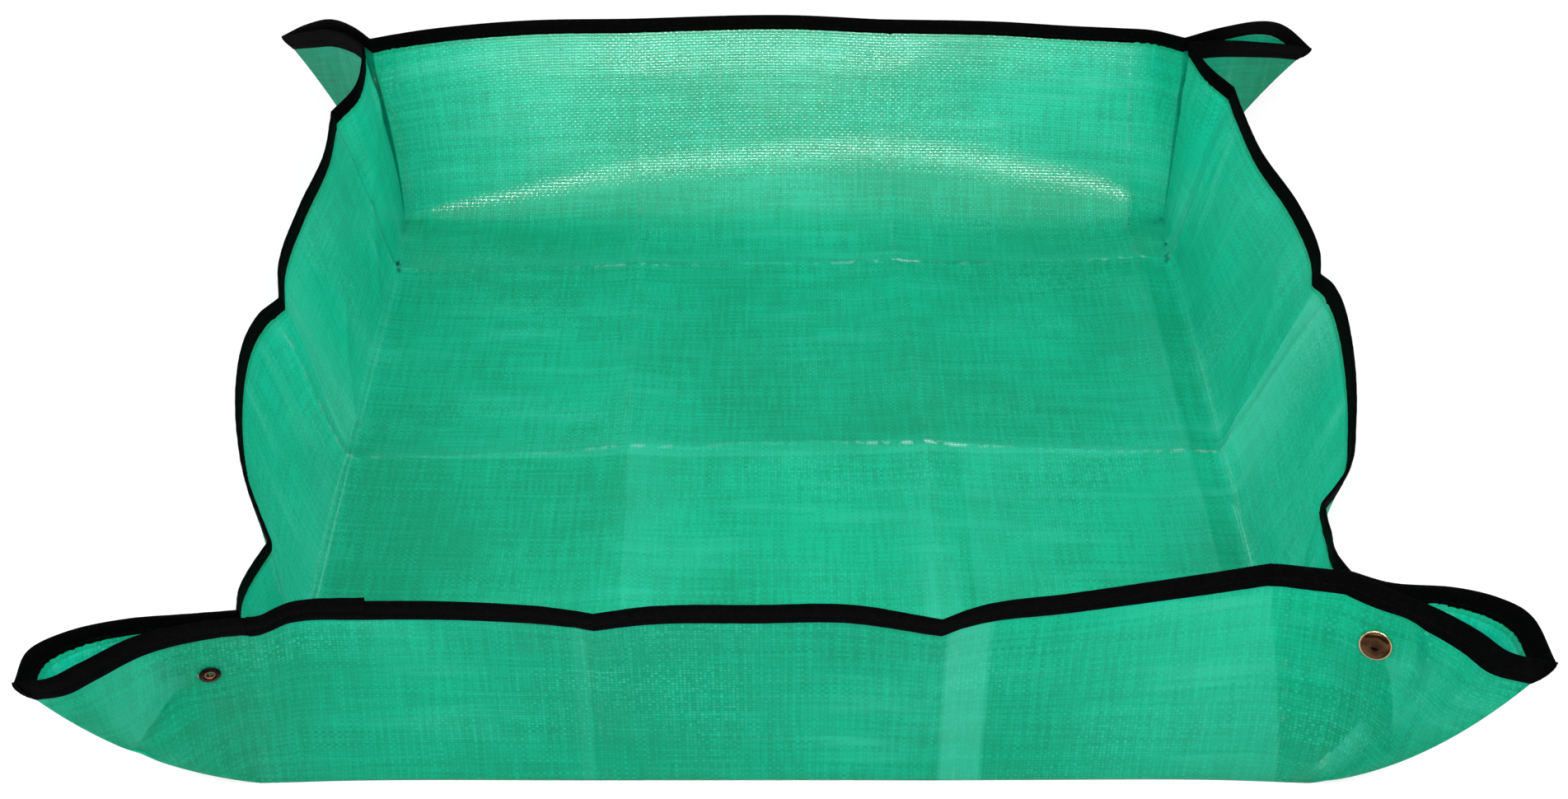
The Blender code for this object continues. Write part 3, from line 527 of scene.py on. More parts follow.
def crease_offs(x, y):
    """Distance from each crease: its drifts grow evenly with the way from the middle."""
    back, front = np.clip(y / DRIFT_REACH, 0, 1), np.clip(-y / DRIFT_REACH, 0, 1)
    rim = np.clip((-y - FLOOR_HALF) / RIM_REACH, 0, 1)
    left, right = np.clip(-x / DRIFT_REACH, 0, 1), np.clip(x / DRIFT_REACH, 0, 1)
    offs = [
        x - middle - to_back * back - to_front * front - (to_rim - to_front) * rim
        for middle, to_back, to_front, to_rim in CREASES_ACROSS_X
    ]
    return offs + [
        y - middle - to_left * left - to_right * right
        for middle, to_left, to_right in CREASES_ACROSS_Y
    ]


def ridges_at(x, y, reach):
    """The sum of a ridge on every crease line."""
    return sum(tent(off, reach) for off in crease_offs(x, y))


print("folding lines:", len(crease_offs(0.0, 0.0)))

# %% [markdown]
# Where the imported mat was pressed, short ridges stand beside the long ones, most of them
# on the walls. Each is a piece of a straight line on the flat sheet, and its height falls
# off with the distance to the nearest place on that piece.

# %% Short ridges
SHORT_CREASES = (
    # from x, y to x, y on the flat sheet, and the ridge's height and reach
    (-0.268, -0.338, -0.312, -0.308, 1.3 * MM, 15 * MM),
    (0.266, -0.338, 0.254, -0.270, 1.0 * MM, 10 * MM),
    (0.262, -0.290, 0.258, -0.262, 0.8 * MM, 9 * MM),
    (-0.246, 0.020, -0.300, 0.085, 1.2 * MM, 16 * MM),
    (-0.262, 0.140, -0.330, 0.215, 1.0 * MM, 14 * MM),
    (0.250, -0.010, 0.340, 0.060, 1.4 * MM, 18 * MM),
    (0.244, -0.040, 0.290, -0.130, 1.4 * MM, 18 * MM),
    (0.250, 0.205, 0.290, 0.150, 1.0 * MM, 12 * MM),
    (-0.180, 0.165, -0.110, 0.150, 0.7 * MM, 10 * MM),
    (0.030, 0.120, 0.100, 0.160, 0.7 * MM, 10 * MM),
)


def short_ridges(x, y):
    """Ridges on short segments: a tent of the distance to the nearest place on each."""
    lift = 0.0
    for from_x, from_y, to_x, to_y, height, reach in SHORT_CREASES:
        run = np.array([to_x - from_x, to_y - from_y])
        share = ((x - from_x) * run[0] + (y - from_y) * run[1]) / (run @ run)
        share = np.clip(share, 0, 1)
        away = np.hypot(x - from_x - share * run[0], y - from_y - share * run[1])
        lift = lift + height * tent(away, reach)
    return lift


print("short ridges:", len(SHORT_CREASES))

# %% [markdown]
# The slack could come from a cloth simulation. Six long sine waves give the same broad,
# shallow billows, cost nothing, and can be worked out at any single place, which the
# shading normals need.

# %% Slack, and the whole relief
SLACK_HEIGHT = 1.3 * MM
TAUT_REACH = 30 * MM
HEM_SHARE = 0.25
HEM_REACH = 40 * MM
WAVES = (
    # waves per metre along x, along y, start of the wave, strength
    (3.1, 1.3, 0.4, 1.00),
    (-2.2, 3.4, 1.9, 0.80),
    (5.3, 2.1, 4.1, 0.45),
    (1.7, -6.2, 2.6, 0.50),
    (8.4, -3.9, 0.9, 0.22),
    (-4.6, 9.1, 3.3, 0.20),
)


def relief(flat):
    """Waves plus ridges on the crease lines, times a fade at the taut lines."""
    x, y = flat[..., 0], flat[..., 1]
    waves = sum(
        strength * np.sin(2 * math.pi * (along_x * x + along_y * y) + start)
        for along_x, along_y, start, strength in WAVES
    )
    inside_x = np.maximum(FLOOR_HALF - np.abs(x), 0)
    inside_y = np.maximum(FLOOR_HALF - np.abs(y), 0)
    taut = ease(np.hypot(inside_x, inside_y) / TAUT_REACH)
    rim = MAT_SIZE / 2 - np.maximum(np.abs(x), np.abs(y))
    hem = HEM_SHARE + (1 - HEM_SHARE) * ease(rim / HEM_REACH)
    ridges = CREASE_HEIGHT * ridges_at(x, y, CREASE_REACH)
    ridges = ridges + FACET_HEIGHT * ridges_at(x, y, FACET_REACH)
    grounded = ease(np.abs(y + FLOOR_HALF) / TAUT_REACH)
    lift = (SLACK_HEIGHT * (1 + waves / 3) + ridges) * taut * grounded + short_ridges(x, y)
    return lift * hem


print("relief at the floor's middle, mm:", round(float(relief(np.zeros((1, 2)))[0] / MM), 2))

# %% [markdown]
# ## From formulas to cloth
#
# A grid of places becomes a thin closed shell: one layer half the cloth's thickness
# above the surface and one below, joined round the border. The shading normals come
# from the formulas and not from the facets, so two pieces that meet on a smooth bend
# show no seam. The flat sheet's own x and y go into the mesh as its UV map, and an
# attribute named "underside" is 0 on the upper layer and 1 on the lower one, so that
# the material can tell them apart.

# %% Surfaces and their normals
STEP = 1.2 * MM
FOOT_SHARE = 0.02


def wall_surface(wall):
    """Functions from (share, rise) to room and to flat sheet, and which way is up."""
    side = wall.out if wall.lies_x else -wall.out
    steps = (STEP / FLOOR_HALF, STEP)
    return wall.points, wall.flat, side, steps, ((-1, 1), (-wall.margin, WALL_HEIGHT))


def ply_surface(ear, ply):
    """Functions from (along, up) to room and to flat sheet, and which way is up."""
    side = ear.side_x * ear.side_y * ply
    steps = (2 * STEP / WALL_HEIGHT, STEP / WALL_HEIGHT)

    def points(along, up):
        return ear.ply_points(along, up, ply)

    def flat(along, up):
        along, up = paired(along, up)
        return ear.flat(along, up, ply)

    return points, flat, side, steps, ((0, 1), (FOOT_SHARE, 1))


def normals_of(points, side, steps, limits, first, second):
    """Cross product of the two central differences, turned to the cloth's upper side."""
    first, second = paired(first, second)
    (low_1, high_1), (low_2, high_2) = limits
    second = np.clip(second, low_2, high_2)
    ahead, back = (np.clip(first + s * steps[0], low_1, high_1) for s in (1, -1))
    above, below = (np.clip(second + s * steps[1], low_2, high_2) for s in (1, -1))
    run = points(ahead, second) - points(back, second)
    rise = points(first, above) - points(first, below)
    return side * unit(np.cross(run, rise))


def clothed(surface):
    """The same surface lifted along its normals by the relief."""
    points, flat, side, steps, limits = surface

    def lifted(first, second):
        normals = normals_of(points, side, steps, limits, first, second)
        return points(first, second) + relief(flat(first, second))[..., None] * normals

    return lifted, flat, side, steps, limits


def grid_of(surface, first, second):
    """Room points, upper normals and flat places of a grid of rows (second) by columns."""
    points, flat, side, steps, limits = surface
    columns, rows = np.meshgrid(first, second)
    normals = normals_of(points, side, steps, limits, columns, rows)
    return points(columns, rows), normals, flat(columns, rows), side


middle, facing, _, _ = grid_of(wall_surface(walls["front"]), [0.0], [WALL_HEIGHT / 2])
print("front wall's middle:", middle[0, 0].round(3), "and it faces", facing[0, 0].round(2))

# %% [markdown]
# A single layer of faces would have no thickness to catch light on its edge. Each grid
# is doubled instead, and a strip of faces runs round its border.

# %% A thin shell from a grid
def shell(points, normals, flat, side):
    """Two layers half a thickness off the surface, joined by strips round the border."""
    rows, columns = points.shape[:2]
    count = rows * columns
    index = np.arange(count).reshape(rows, columns)
    top = np.stack([index[:-1, :-1], index[:-1, 1:], index[1:, 1:], index[1:, :-1]], -1)
    top = top.reshape(-1, 4)
    if side < 0:
        top = top[:, ::-1]
    border = np.concatenate([index[0], index[1:, -1], index[-1, -2::-1], index[-2:0:-1, 0]])
    after = np.roll(border, -1)
    strip = np.stack([after, border, border + count, after + count], axis=-1)
    if side < 0:
        strip = strip[:, ::-1]
    half = normals * SHEET_THICKNESS / 2
    both = np.stack([points + half, points - half])
    return {
        "points": both.reshape(-1, 3),
        "normals": np.stack([normals, -normals]).reshape(-1, 3),
        "flat": np.stack([flat, flat]).reshape(-1, 2),
        "under": np.repeat([0.0, 1.0], count),
        "faces": np.concatenate([top, top[:, ::-1] + count, strip]),
    }


def joined(parts):
    """Several shells as one, each one's face numbers moved past those before it."""
    starts = np.cumsum([0] + [len(part["points"]) for part in parts[:-1]])
    keys = ("points", "normals", "flat", "under")
    made = {key: np.concatenate([part[key] for part in parts]) for key in keys}
    made["faces"] = np.concatenate([part["faces"] + s for part, s in zip(parts, starts)])
    return made


patch = shell(*grid_of(wall_surface(walls["front"]), [-0.1, 0.1], [0.0, 0.01]))
print("a shell of a single patch has", len(patch["faces"]), "faces")

# %% [markdown]
# One helper turns arrays into an object for every piece. At an ear's foot, and on the
# axis of a turned piece, a whole row of places falls together. A face with two equal
# corners would be a fault, so those corners are joined first.

# %% From arrays to objects
def mesh_object(name, points, faces, material, flat=None, map_name="flat_sheet"):
    """A smooth mesh object in the scene, with a UV map where flat places are given."""
    mesh = bpy.data.meshes.new(name)
    mesh.from_pydata(points.reshape(-1, 3).tolist(), [], faces)
    if flat is not None:
        loops = np.empty(len(mesh.loops), np.int32)
        mesh.loops.foreach_get("vertex_index", loops)
        layer = mesh.uv_layers.new(name=map_name)
        layer.data.foreach_set("uv", flat.reshape(-1, 2)[loops].astype(np.float32).ravel())
    mesh.shade_smooth()
    mesh.materials.append(material)
    made = bpy.data.objects.new(name, mesh)
    bpy.context.scene.collection.objects.link(made)
    return made


def object_from(name, part, material, map_name="flat_sheet"):
    """A mesh object from a part; places that coincide in a face are dropped from it."""
    points, faces = part["points"], part["faces"]
    rounded = np.round(points / (MM * MM)).astype(np.int64)
    _, first, same = np.unique(rounded, axis=0, return_index=True, return_inverse=True)
    shared = first[same.reshape(-1)]
    point_like = np.zeros(len(points), bool)
    for a, b in ((0, 1), (1, 2), (2, 3), (3, 0)):
        flat_edge = shared[faces[:, a]] == shared[faces[:, b]]
        point_like[faces[flat_edge][:, [a, b]]] = True
    renamed = np.where(point_like, shared, np.arange(len(points)))
    faces = renamed[faces]
    twins = faces == np.roll(faces, 1, axis=1)
    whole = ~twins.any(axis=1)
    short = [row[~twin].tolist() for row, twin in zip(faces[~whole], twins[~whole])]
    faces = faces[whole].tolist() + [face for face in short if len(face) > 2]
    made = mesh_object(name, points, faces, material, part["flat"], map_name)
    if "under" in part:
        layer = made.data.attributes.new("underside", "FLOAT", "POINT")
        layer.data.foreach_set("value", part["under"].astype(np.float32))
        made.data.normals_split_custom_set_from_vertices(part["normals"].tolist())
    return made


def face_outwards(made, sharp_from=None):
    """A closed body's faces turned outwards, its edges sharp from an angle in degrees."""
    work = bmesh.new()
    work.from_mesh(made.data)
    bmesh.ops.recalc_face_normals(work, faces=work.faces)
    work.to_mesh(made.data)
    work.free()
    made.data.shade_smooth()
    if sharp_from:
        made.data.set_sharp_from_angle(angle=math.radians(sharp_from))
    return made


print("places that differ by less than", MM * MM, "m count as one")

# %% [markdown]
# ## Where the grids have their lines
#
# Floor and walls share their columns, so their borders match point for point. One
# column is moved onto each crease and each kink of a rim, because a fold that falls
# between two columns would be cut off.

# %% Rows and columns
COLUMN_COUNT = 129
PLY_COLUMN_COUNT = 26
LOW_ROW_COUNT, LOW_ROWS_REACH = 9, 12.5 * MM
HIGH_ROW_COUNT, HIGH_ROWS_START = 31, 16 * MM
SPLIT_SHARE = 0.75  # past this share a wall moves with the ply that peels beside it
SAME_SHARE = 1e-6


def columns_on(wall_names, lines):
    """Even shares, with the nearest one moved onto each kink and crease line."""
    shares = np.linspace(-1, 1, COLUMN_COUNT)
    marks = [line / FLOOR_HALF for line in lines]
    for name in wall_names:
        wall = walls[name]
        marks += [knot for knot, kink in zip(wall.knots, wall.kinks) if kink]
    for mark in marks:
        near = np.argmin(np.abs(shares - mark))
        on_split = abs(abs(shares[near]) - SPLIT_SHARE) < SAME_SHARE
        if not on_split and 0 < near < COLUMN_COUNT - 1:
            shares[near] = mark
    return np.unique(shares)


columns_x = columns_on(("front", "back"), [line[0] for line in CREASES_ACROSS_X])
columns_y = columns_on(("left", "right"), [line[0] for line in CREASES_ACROSS_Y])
low_rises = LOW_ROWS_REACH * np.linspace(0, 1, LOW_ROW_COUNT) ** 1.5
high_rises = np.linspace(HIGH_ROWS_START, WALL_HEIGHT, HIGH_ROW_COUNT)
rises = np.concatenate([low_rises, high_rises])
ply_columns = np.linspace(0, 1, PLY_COLUMN_COUNT)
print("columns:", len(columns_x), "by", len(columns_y), "and rows up a wall:", len(rises))


def is_split(wall, end):
    """True where the wall's end moves with a peeling ply: end is 0 or 1."""
    return wall.ears[end].flap_ply == wall.ply


def kept_reach(wall):
    """From and to which share the wall stays with the tray."""
    low, high = (SPLIT_SHARE if is_split(wall, end) else 1 for end in (0, 1))
    return -low, high


# %% [markdown]
# ## Shader groups
#
# The cloth is woven from flat plastic tapes and then coated. Up close every crossing
# is a small pillow: where the tape along the sheet is on top it is ridged one way, and
# where the tape across is on top, the other way. That checkerboard is what breaks the
# bright reflection on the back wall into dots. It is made once, as a node group that
# takes a place on the flat sheet and gives a height, which tape is on top, and two
# random values: one that is the same all along each tape, and one for each crossing.
#
# The helpers come first. A Value stands for what leaves a node, so that a sum in a
# material can be written as a sum: each sign makes the Math node that works it out.

# %% Values and nodes
NUMBER, VECTOR = "NodeSocketFloat", "NodeSocketVector"


class Value:
    """What a node gives, with the tree it belongs to; arithmetic on it adds Math nodes."""

    def __init__(self, tree, socket):
        self.tree, self.socket = tree, socket

    def math(self, operation, *others):
        """One Math node's result, with this value first."""
        return node(self.tree, "ShaderNodeMath", self, *others, operation=operation)

    def __add__(self, other):
        return self.math("ADD", other)

    def __sub__(self, other):
        return self.math("SUBTRACT", other)

    def __rsub__(self, other):
        return node(self.tree, "ShaderNodeMath", other, self, operation="SUBTRACT")

    def __mul__(self, other):
        return self.math("MULTIPLY", other)

    def __truediv__(self, other):
        return self.math("DIVIDE", other)

    def __abs__(self):
        return self.math("ABSOLUTE")


def feed(tree, socket, value):
    """A value linked into a socket, or the socket set to a plain number or colour."""
    if isinstance(value, Value):
        tree.links.new(value.socket, socket)
    elif value is not None:
        socket.default_value = value


def feed_by_name(tree, made, **values):
    """A node's inputs fed by their names, with _ where a name has a space."""
    for label, value in values.items():
        feed(tree, made.inputs[label.replace("_", " ")], value)


def outputs_of(tree, made):
    """A node's outputs by their names."""
    return {socket.name: Value(tree, socket) for socket in made.outputs}


def node(tree, kind, *inputs, output=0, **settings):
    """One output of a new node that has its settings applied and its inputs fed in order."""
    made = tree.nodes.new(kind)
    for name, value in settings.items():
        setattr(made, name, value)
    for socket, value in zip(made.inputs, inputs):
        feed(tree, socket, value)
    return Value(tree, made.outputs[output])


print("signs that a Value knows: + - * / and abs()")

# %% [markdown]
# Most looks come from four steps: mix two colours, squeeze a value into a range, fade
# with a distance, and break something up with noise.

# %% Mixing, ranges and noise
def mixed(factor, first, second, kind="RGBA"):
    """Two colours, or with the kind FLOAT two numbers, mixed by a factor."""
    made = factor.tree.nodes.new("ShaderNodeMix")
    made.data_type = kind
    open_inputs = [socket for socket in made.inputs if socket.enabled]
    for socket, value in zip(open_inputs, (factor, first, second)):
        feed(factor.tree, socket, value)
    return Value(factor.tree, next(socket for socket in made.outputs if socket.enabled))


def between(value, low, high, to_low=0.0, to_high=1.0):
    """A value mapped from one range to another and held inside it."""
    return node(value.tree, "ShaderNodeMapRange", value, low, high, to_low, to_high)


def fading(distance, reach):
    """1 at no distance, falling evenly to 0 at the reach."""
    return (1.0 - distance / reach).math("MAXIMUM", 0.0)


def x_and_y(place):
    """The first two parts of a place."""
    made = node(place.tree, "ShaderNodeSeparateXYZ", place).socket.node
    return [Value(place.tree, made.outputs[axis]) for axis in ("X", "Y")]


def noise_at(place, scale, detail=2.0, stretch=None, dimensions="3D"):
    """A noise value at a place, stretched along an axis if wanted."""
    tree = place.tree
    if stretch:
        place = node(tree, "ShaderNodeVectorMath", place, stretch, operation="MULTIPLY")
    made = tree.nodes.new("ShaderNodeTexNoise")
    made.noise_dimensions = dimensions
    feed_by_name(tree, made, Vector=place, Scale=scale, Detail=detail)
    return Value(tree, made.outputs[0])


print("noise keeps to the cloth, because its place is the flat sheet's")

# %% [markdown]
# A node group is made once and used in many materials. It has named sockets, like the
# named inputs of a function.

# %% Making and using groups
def start_group(name, inputs):
    """An empty node group with named inputs, and those inputs as values."""
    tree = bpy.data.node_groups.new(name, "ShaderNodeTree")
    for label, kind, value in inputs:
        socket = tree.interface.new_socket(label, in_out="INPUT", socket_type=kind)
        if value is not None:
            socket.default_value = value
    return tree, outputs_of(tree, tree.nodes.new("NodeGroupInput"))


def end_group(tree, **results):
    """The group, closed by an output node with a named number for each result."""
    for label in results:
        tree.interface.new_socket(label, in_out="OUTPUT", socket_type=NUMBER)
    feed_by_name(tree, tree.nodes.new("NodeGroupOutput"), **results)
    return tree


def use_group(tree, group, **values):
    """The outputs of a group's node in a material, with its inputs fed by name."""
    made = tree.nodes.new("ShaderNodeGroup")
    made.node_tree = group
    feed_by_name(tree, made, **values)
    return outputs_of(tree, made)


print("groups take their inputs by name")

# %% [markdown]
# The weave could be modelled, but 0.1 mm pillows over half a square metre would take
# millions of faces. A height for the Bump node does the same for the light.

# %% The plain weave
def make_weave():
    """Height: the tape on top arches along its length and is crowned across it."""
    tree, given = start_group(
        "plain weave",
        [("Place", VECTOR, None), ("Pitch", NUMBER, 0.002), ("Crown", NUMBER, 0.35)],
    )
    places = [part / given["Pitch"] for part in x_and_y(given["Place"])]
    cells = [place.math("FLOOR") for place in places]
    inside = [place.math("FRACT") - 0.5 for place in places]
    over = (cells[0] + cells[1]).math("FLOORED_MODULO", 2.0)
    pillows = [
        (along * math.pi).math("COSINE") - across * across * 4.0 * given["Crown"]
        for along, across in (inside[::-1], inside)
    ]
    noise = "ShaderNodeTexWhiteNoise"
    tapes = [node(tree, noise, None, cell, noise_dimensions="1D") for cell in cells]
    crossing = node(tree, "ShaderNodeCombineXYZ", *cells)
    return end_group(
        tree,
        Height=mixed(over, *pillows, kind="FLOAT"),
        Over=over,
        Tape=mixed(over, *tapes, kind="FLOAT"),
        Cell=node(tree, noise, crossing, noise_dimensions="2D"),
    )


weave = make_weave()
print("weave group:", len(weave.nodes), "nodes")

# %% [markdown]
# A folding crease bruises the coating: along the line the green turns pale and chalky.
# The lines that run from front to back are faint wear. The lines that run from side to
# side also carry painted glints, bright only near their crossings with the first, some
# crossings more than others.
# The group measures the distance to the nearest crease on the flat sheet and breaks
# the line up with noise.

# %% Pale worn lines and painted glints on the creases
CROSSING_WEIGHTS = (0.15, 0.50, 1.0, 0.55)
FAINT_LINE = 0.08
SPARKLE_POWER = 1.4
WOBBLE_SCALE, WOBBLE_WIDTH = 34, 4 * MM
BREAK_SCALE, BREAK_RANGE = 150, (0.47, 0.60)


def make_creases():
    """First output: faint crease lines plus painted glints, broken by noise. Crossing: 1 where two
    lines cross, fading out.
    """
    tree, given = start_group(
        "crease wear",
        [("Place", VECTOR, None), ("Reach", NUMBER, 0.0022), ("Crossing Reach", NUMBER, 0.060)],
    )
    place, crossing_reach = given["Place"], given["Crossing Reach"]
    shift = (noise_at(place, WOBBLE_SCALE, 3, dimensions="2D") - 0.5) * WOBBLE_WIDTH
    x, y = x_and_y(place)
    rim = between(y, -FLOOR_HALF, -FLOOR_HALF - RIM_REACH)
    ways_x = (between(y, 0.0, DRIFT_REACH), between(y, 0.0, -DRIFT_REACH), rim)
    ways_y = (between(x, 0.0, -DRIFT_REACH), between(x, 0.0, DRIFT_REACH))
    lines_x = [(middle, (b, f, r - f)) for middle, b, f, r in CREASES_ACROSS_X]
    lines_y = [(middle, drifts) for middle, *drifts in CREASES_ACROSS_Y]
    offs = []
    for value, ways, lines in ((x, ways_x, lines_x), (y, ways_y, lines_y)):
        aways = []
        for moved, drifts in lines:
            for way, drift in zip(ways, drifts):
                if drift:
                    moved = way.math("MULTIPLY_ADD", drift, moved)
            aways.append(abs(value - moved + shift))
        offs.append(aways)
    # Painted glints, bright near the crossings; the faint lines alone are crease wear.
    sparkles = [fading(a, crossing_reach) * w for a, w in zip(offs[0], CROSSING_WEIGHTS)]
    sparkle = functools.reduce(lambda a, b: a.math("MAXIMUM", b), sparkles)
    near_x, near_y = (functools.reduce(lambda a, b: a.math("MINIMUM", b), off) for off in offs)
    both = node(tree, "ShaderNodeCombineXYZ", near_x, near_y)
    away = node(tree, "ShaderNodeVectorMath", both, operation="LENGTH", output="Value")
    kept = between(noise_at(place, BREAK_SCALE, 4, dimensions="2D"), *BREAK_RANGE)
    bright = sparkle.math("POWER", SPARKLE_POWER) + FAINT_LINE
    wear_and_glints = 0.0
    for near, strength in ((near_x, FAINT_LINE / 2), (near_y, bright)):
        wear_and_glints = (fading(near, given["Reach"]) * kept).math("MULTIPLY_ADD", strength, wear_and_glints)
    return end_group(tree, Wear=wear_and_glints.math("MINIMUM", 1.0), Crossing=fading(away, crossing_reach))


crease_wear_and_glints = make_creases()
print("crease group:", len(crease_wear_and_glints.nodes), "nodes")

# %% [markdown]
# A sharp fold shades the cloth on one side of it, and the shade fades away over a few
# centimetres. The third group gives such a facet: it is 1 just left of a line from one
# place to another, 0 right of it, and falls evenly to 0 at its reach.

# %% One-sided facets beside folds
FACET_EDGE = 0.8 * MM
FACET_END = 12 * MM


def make_facet():
    """Mask: a step across the line, times an even fall with the distance to its left."""
    places = [(label, VECTOR, None) for label in ("Place", "From", "Along", "Left")]
    sizes = [("Length", NUMBER, 0.1), ("Reach", NUMBER, 0.03)]
    tree, given = start_group("lit facet", places + sizes)
    turn = "ShaderNodeVectorMath"
    off = node(tree, turn, given["Place"], given["From"], operation="SUBTRACT")
    along, left = (
        node(tree, turn, off, given[way], operation="DOT_PRODUCT", output="Value")
        for way in ("Along", "Left")
    )
    step = between(left, -FACET_EDGE, FACET_EDGE)
    mask = step * between(left, given["Reach"], 0.0) * between(along, 0.0, FACET_END)
    return end_group(tree, Mask=mask * between(given["Length"] - along, 0.0, FACET_END))


lit_facet = make_facet()
print("facet group:", len(lit_facet.nodes), "nodes")

# %% [markdown]
# ## The materials
#
# The coated cloth is a saturated green plastic. Single tapes differ a little in tone,
# and larger patches are rubbed dull. Some crossings, in patches, are painted pale as
# glints, and faint streaks across the sheet are painted sheen. The weave's height goes
# through a Bump node, so there it only tilts the shading normal; the same height also
# lightens the crowns of the weave and darkens the grooves between them, a painted shade.
# The underside is darker and duller, and the mesh says where that is.
#
# The light on one side of the folds is painted, and the folds' facets are one table;
# strips of painted light along two creases are another. A negative strength means that
# the lit side lies to the right of the line, and not to its left.

# %% The cloth's colours and painted light
WEAVE_PITCH = 1.85 * MM
WEAVE_RELIEF = 0.085 * MM
CRUMPLE_HEIGHT = 0.9 * MM
GREEN_DEEP = (0.0, 0.305, 0.146, 1)
GREEN_LIGHT = (0.0, 0.48, 0.258, 1)
# Pale green of the painted light on folds, streaks and crossings.
GREEN_PAINTED_LIGHT = (0.045, 0.66, 0.42, 1)
# Chalky green of the crease wear and of the painted glints on it.
GREEN_CHALK_AND_GLINT = (0.48, 0.90, 0.76, 1)
# Tone weights; the last lightens the weave's crowns and darkens its grooves: painted shade.
STREAK_TONE, TAPE_TONE, PATCH_TONE, PILLOW_PAINTED_SHADE = 0.8, 0.10, 0.7, 0.12
# Painted glints on some weave crossings.
PAINTED_GLINT_CELLS = 0.55
UNDERSIDE_SHADE = 0.72
COAT_TOP, COAT_UNDER = 0.9, 0.18
SHINE_TOP, SHINE_UNDER = 0.28, 0.06
STRIP_EDGE = 1.5 * MM
# Strips of painted light along two creases.
PAINTED_LIT_STRIPS = (
    # middle x, half width, full from this y, gone at this y, strength
    (0.0832, 0.0098, -0.20, -0.06, 0.42),
    (-0.0930, 0.0030, -0.24, -0.10, 0.14),
)
# Painted light on one side of each fold.
PAINTED_LIT_FACETS = (
    # from x, y to x, y, its reach, its strength
    (-0.0830, -0.240, -0.0880, 0.010, 0.050, -0.20),
    (0.0790, -0.240, 0.0808, 0.010, 0.025, 0.14),
    (0.1020, -0.240, 0.1000, 0.010, 0.060, -0.13),
    (0.2330, -0.240, 0.2285, 0.180, 0.040, 0.15),
    (-0.2400, -0.008, 0.2400, -0.001, 0.016, 0.22),
    (-0.2400, 0.183, 0.2400, 0.196, 0.030, 0.16),
    (-0.2737, -0.3346, -0.3137, -0.3150, 0.080, 0.42),
    (0.2665, -0.3468, 0.2875, -0.3052, 0.080, -0.36),
    (0.2463, -0.2588, 0.2650, -0.3101, 0.014, 0.50),
    (0.2350, -0.2400, 0.2180, -0.3700, 0.110, -0.26),
    (-0.3700, 0.0062, -0.2500, -0.002, 0.060, 0.24),
    (0.3700, 0.0175, 0.2500, 0.0050, 0.070, 0.36),
)


print("pale facets:", len(PAINTED_LIT_FACETS), "pale strips:", len(PAINTED_LIT_STRIPS))

# %% [markdown]
# The colour is built in layers, from the plastic's own green, through the painted light
# and shade, to the chalky crease wear and its painted glints on top. All the height, from
# single weave pillows to crumples, is summed first, so that one Bump node tilts the
# normal for the base and for the coat alike.

# %% The green coated cloth
def new_material(name):
    """A material with its node tree and its Principled shader."""
    material = bpy.data.materials.new(name)
    material.use_nodes = True
    return material, material.node_tree, material.node_tree.nodes["Principled BSDF"]


def sheet_place(tree):
    """The place on the flat sheet, from the mesh's map."""
    return node(tree, "ShaderNodeUVMap", uv_map="flat_sheet")


def bumped(height):
    """The shading normal, tilted by a height in metres."""
    made = height.tree.nodes.new("ShaderNodeBump")
    feed_by_name(height.tree, made, Strength=1.0, Distance=1.0, Height=height)
    return Value(height.tree, made.outputs[0])


def facet_share(tree, place, from_x, from_y, to_x, to_y, reach, strength):
    """One facet's painted light, with the line's direction and its left worked out."""
    length = math.hypot(to_x - from_x, to_y - from_y)
    along = ((to_x - from_x) / length, (to_y - from_y) / length)
    turn = math.copysign(1.0, strength)
    facet = use_group(
        tree, lit_facet, Place=place, From=(from_x, from_y, 0), Along=(*along, 0),
        Left=(-along[1] * turn, along[0] * turn, 0), Length=length, Reach=reach,
    )
    return facet["Mask"] * abs(strength)


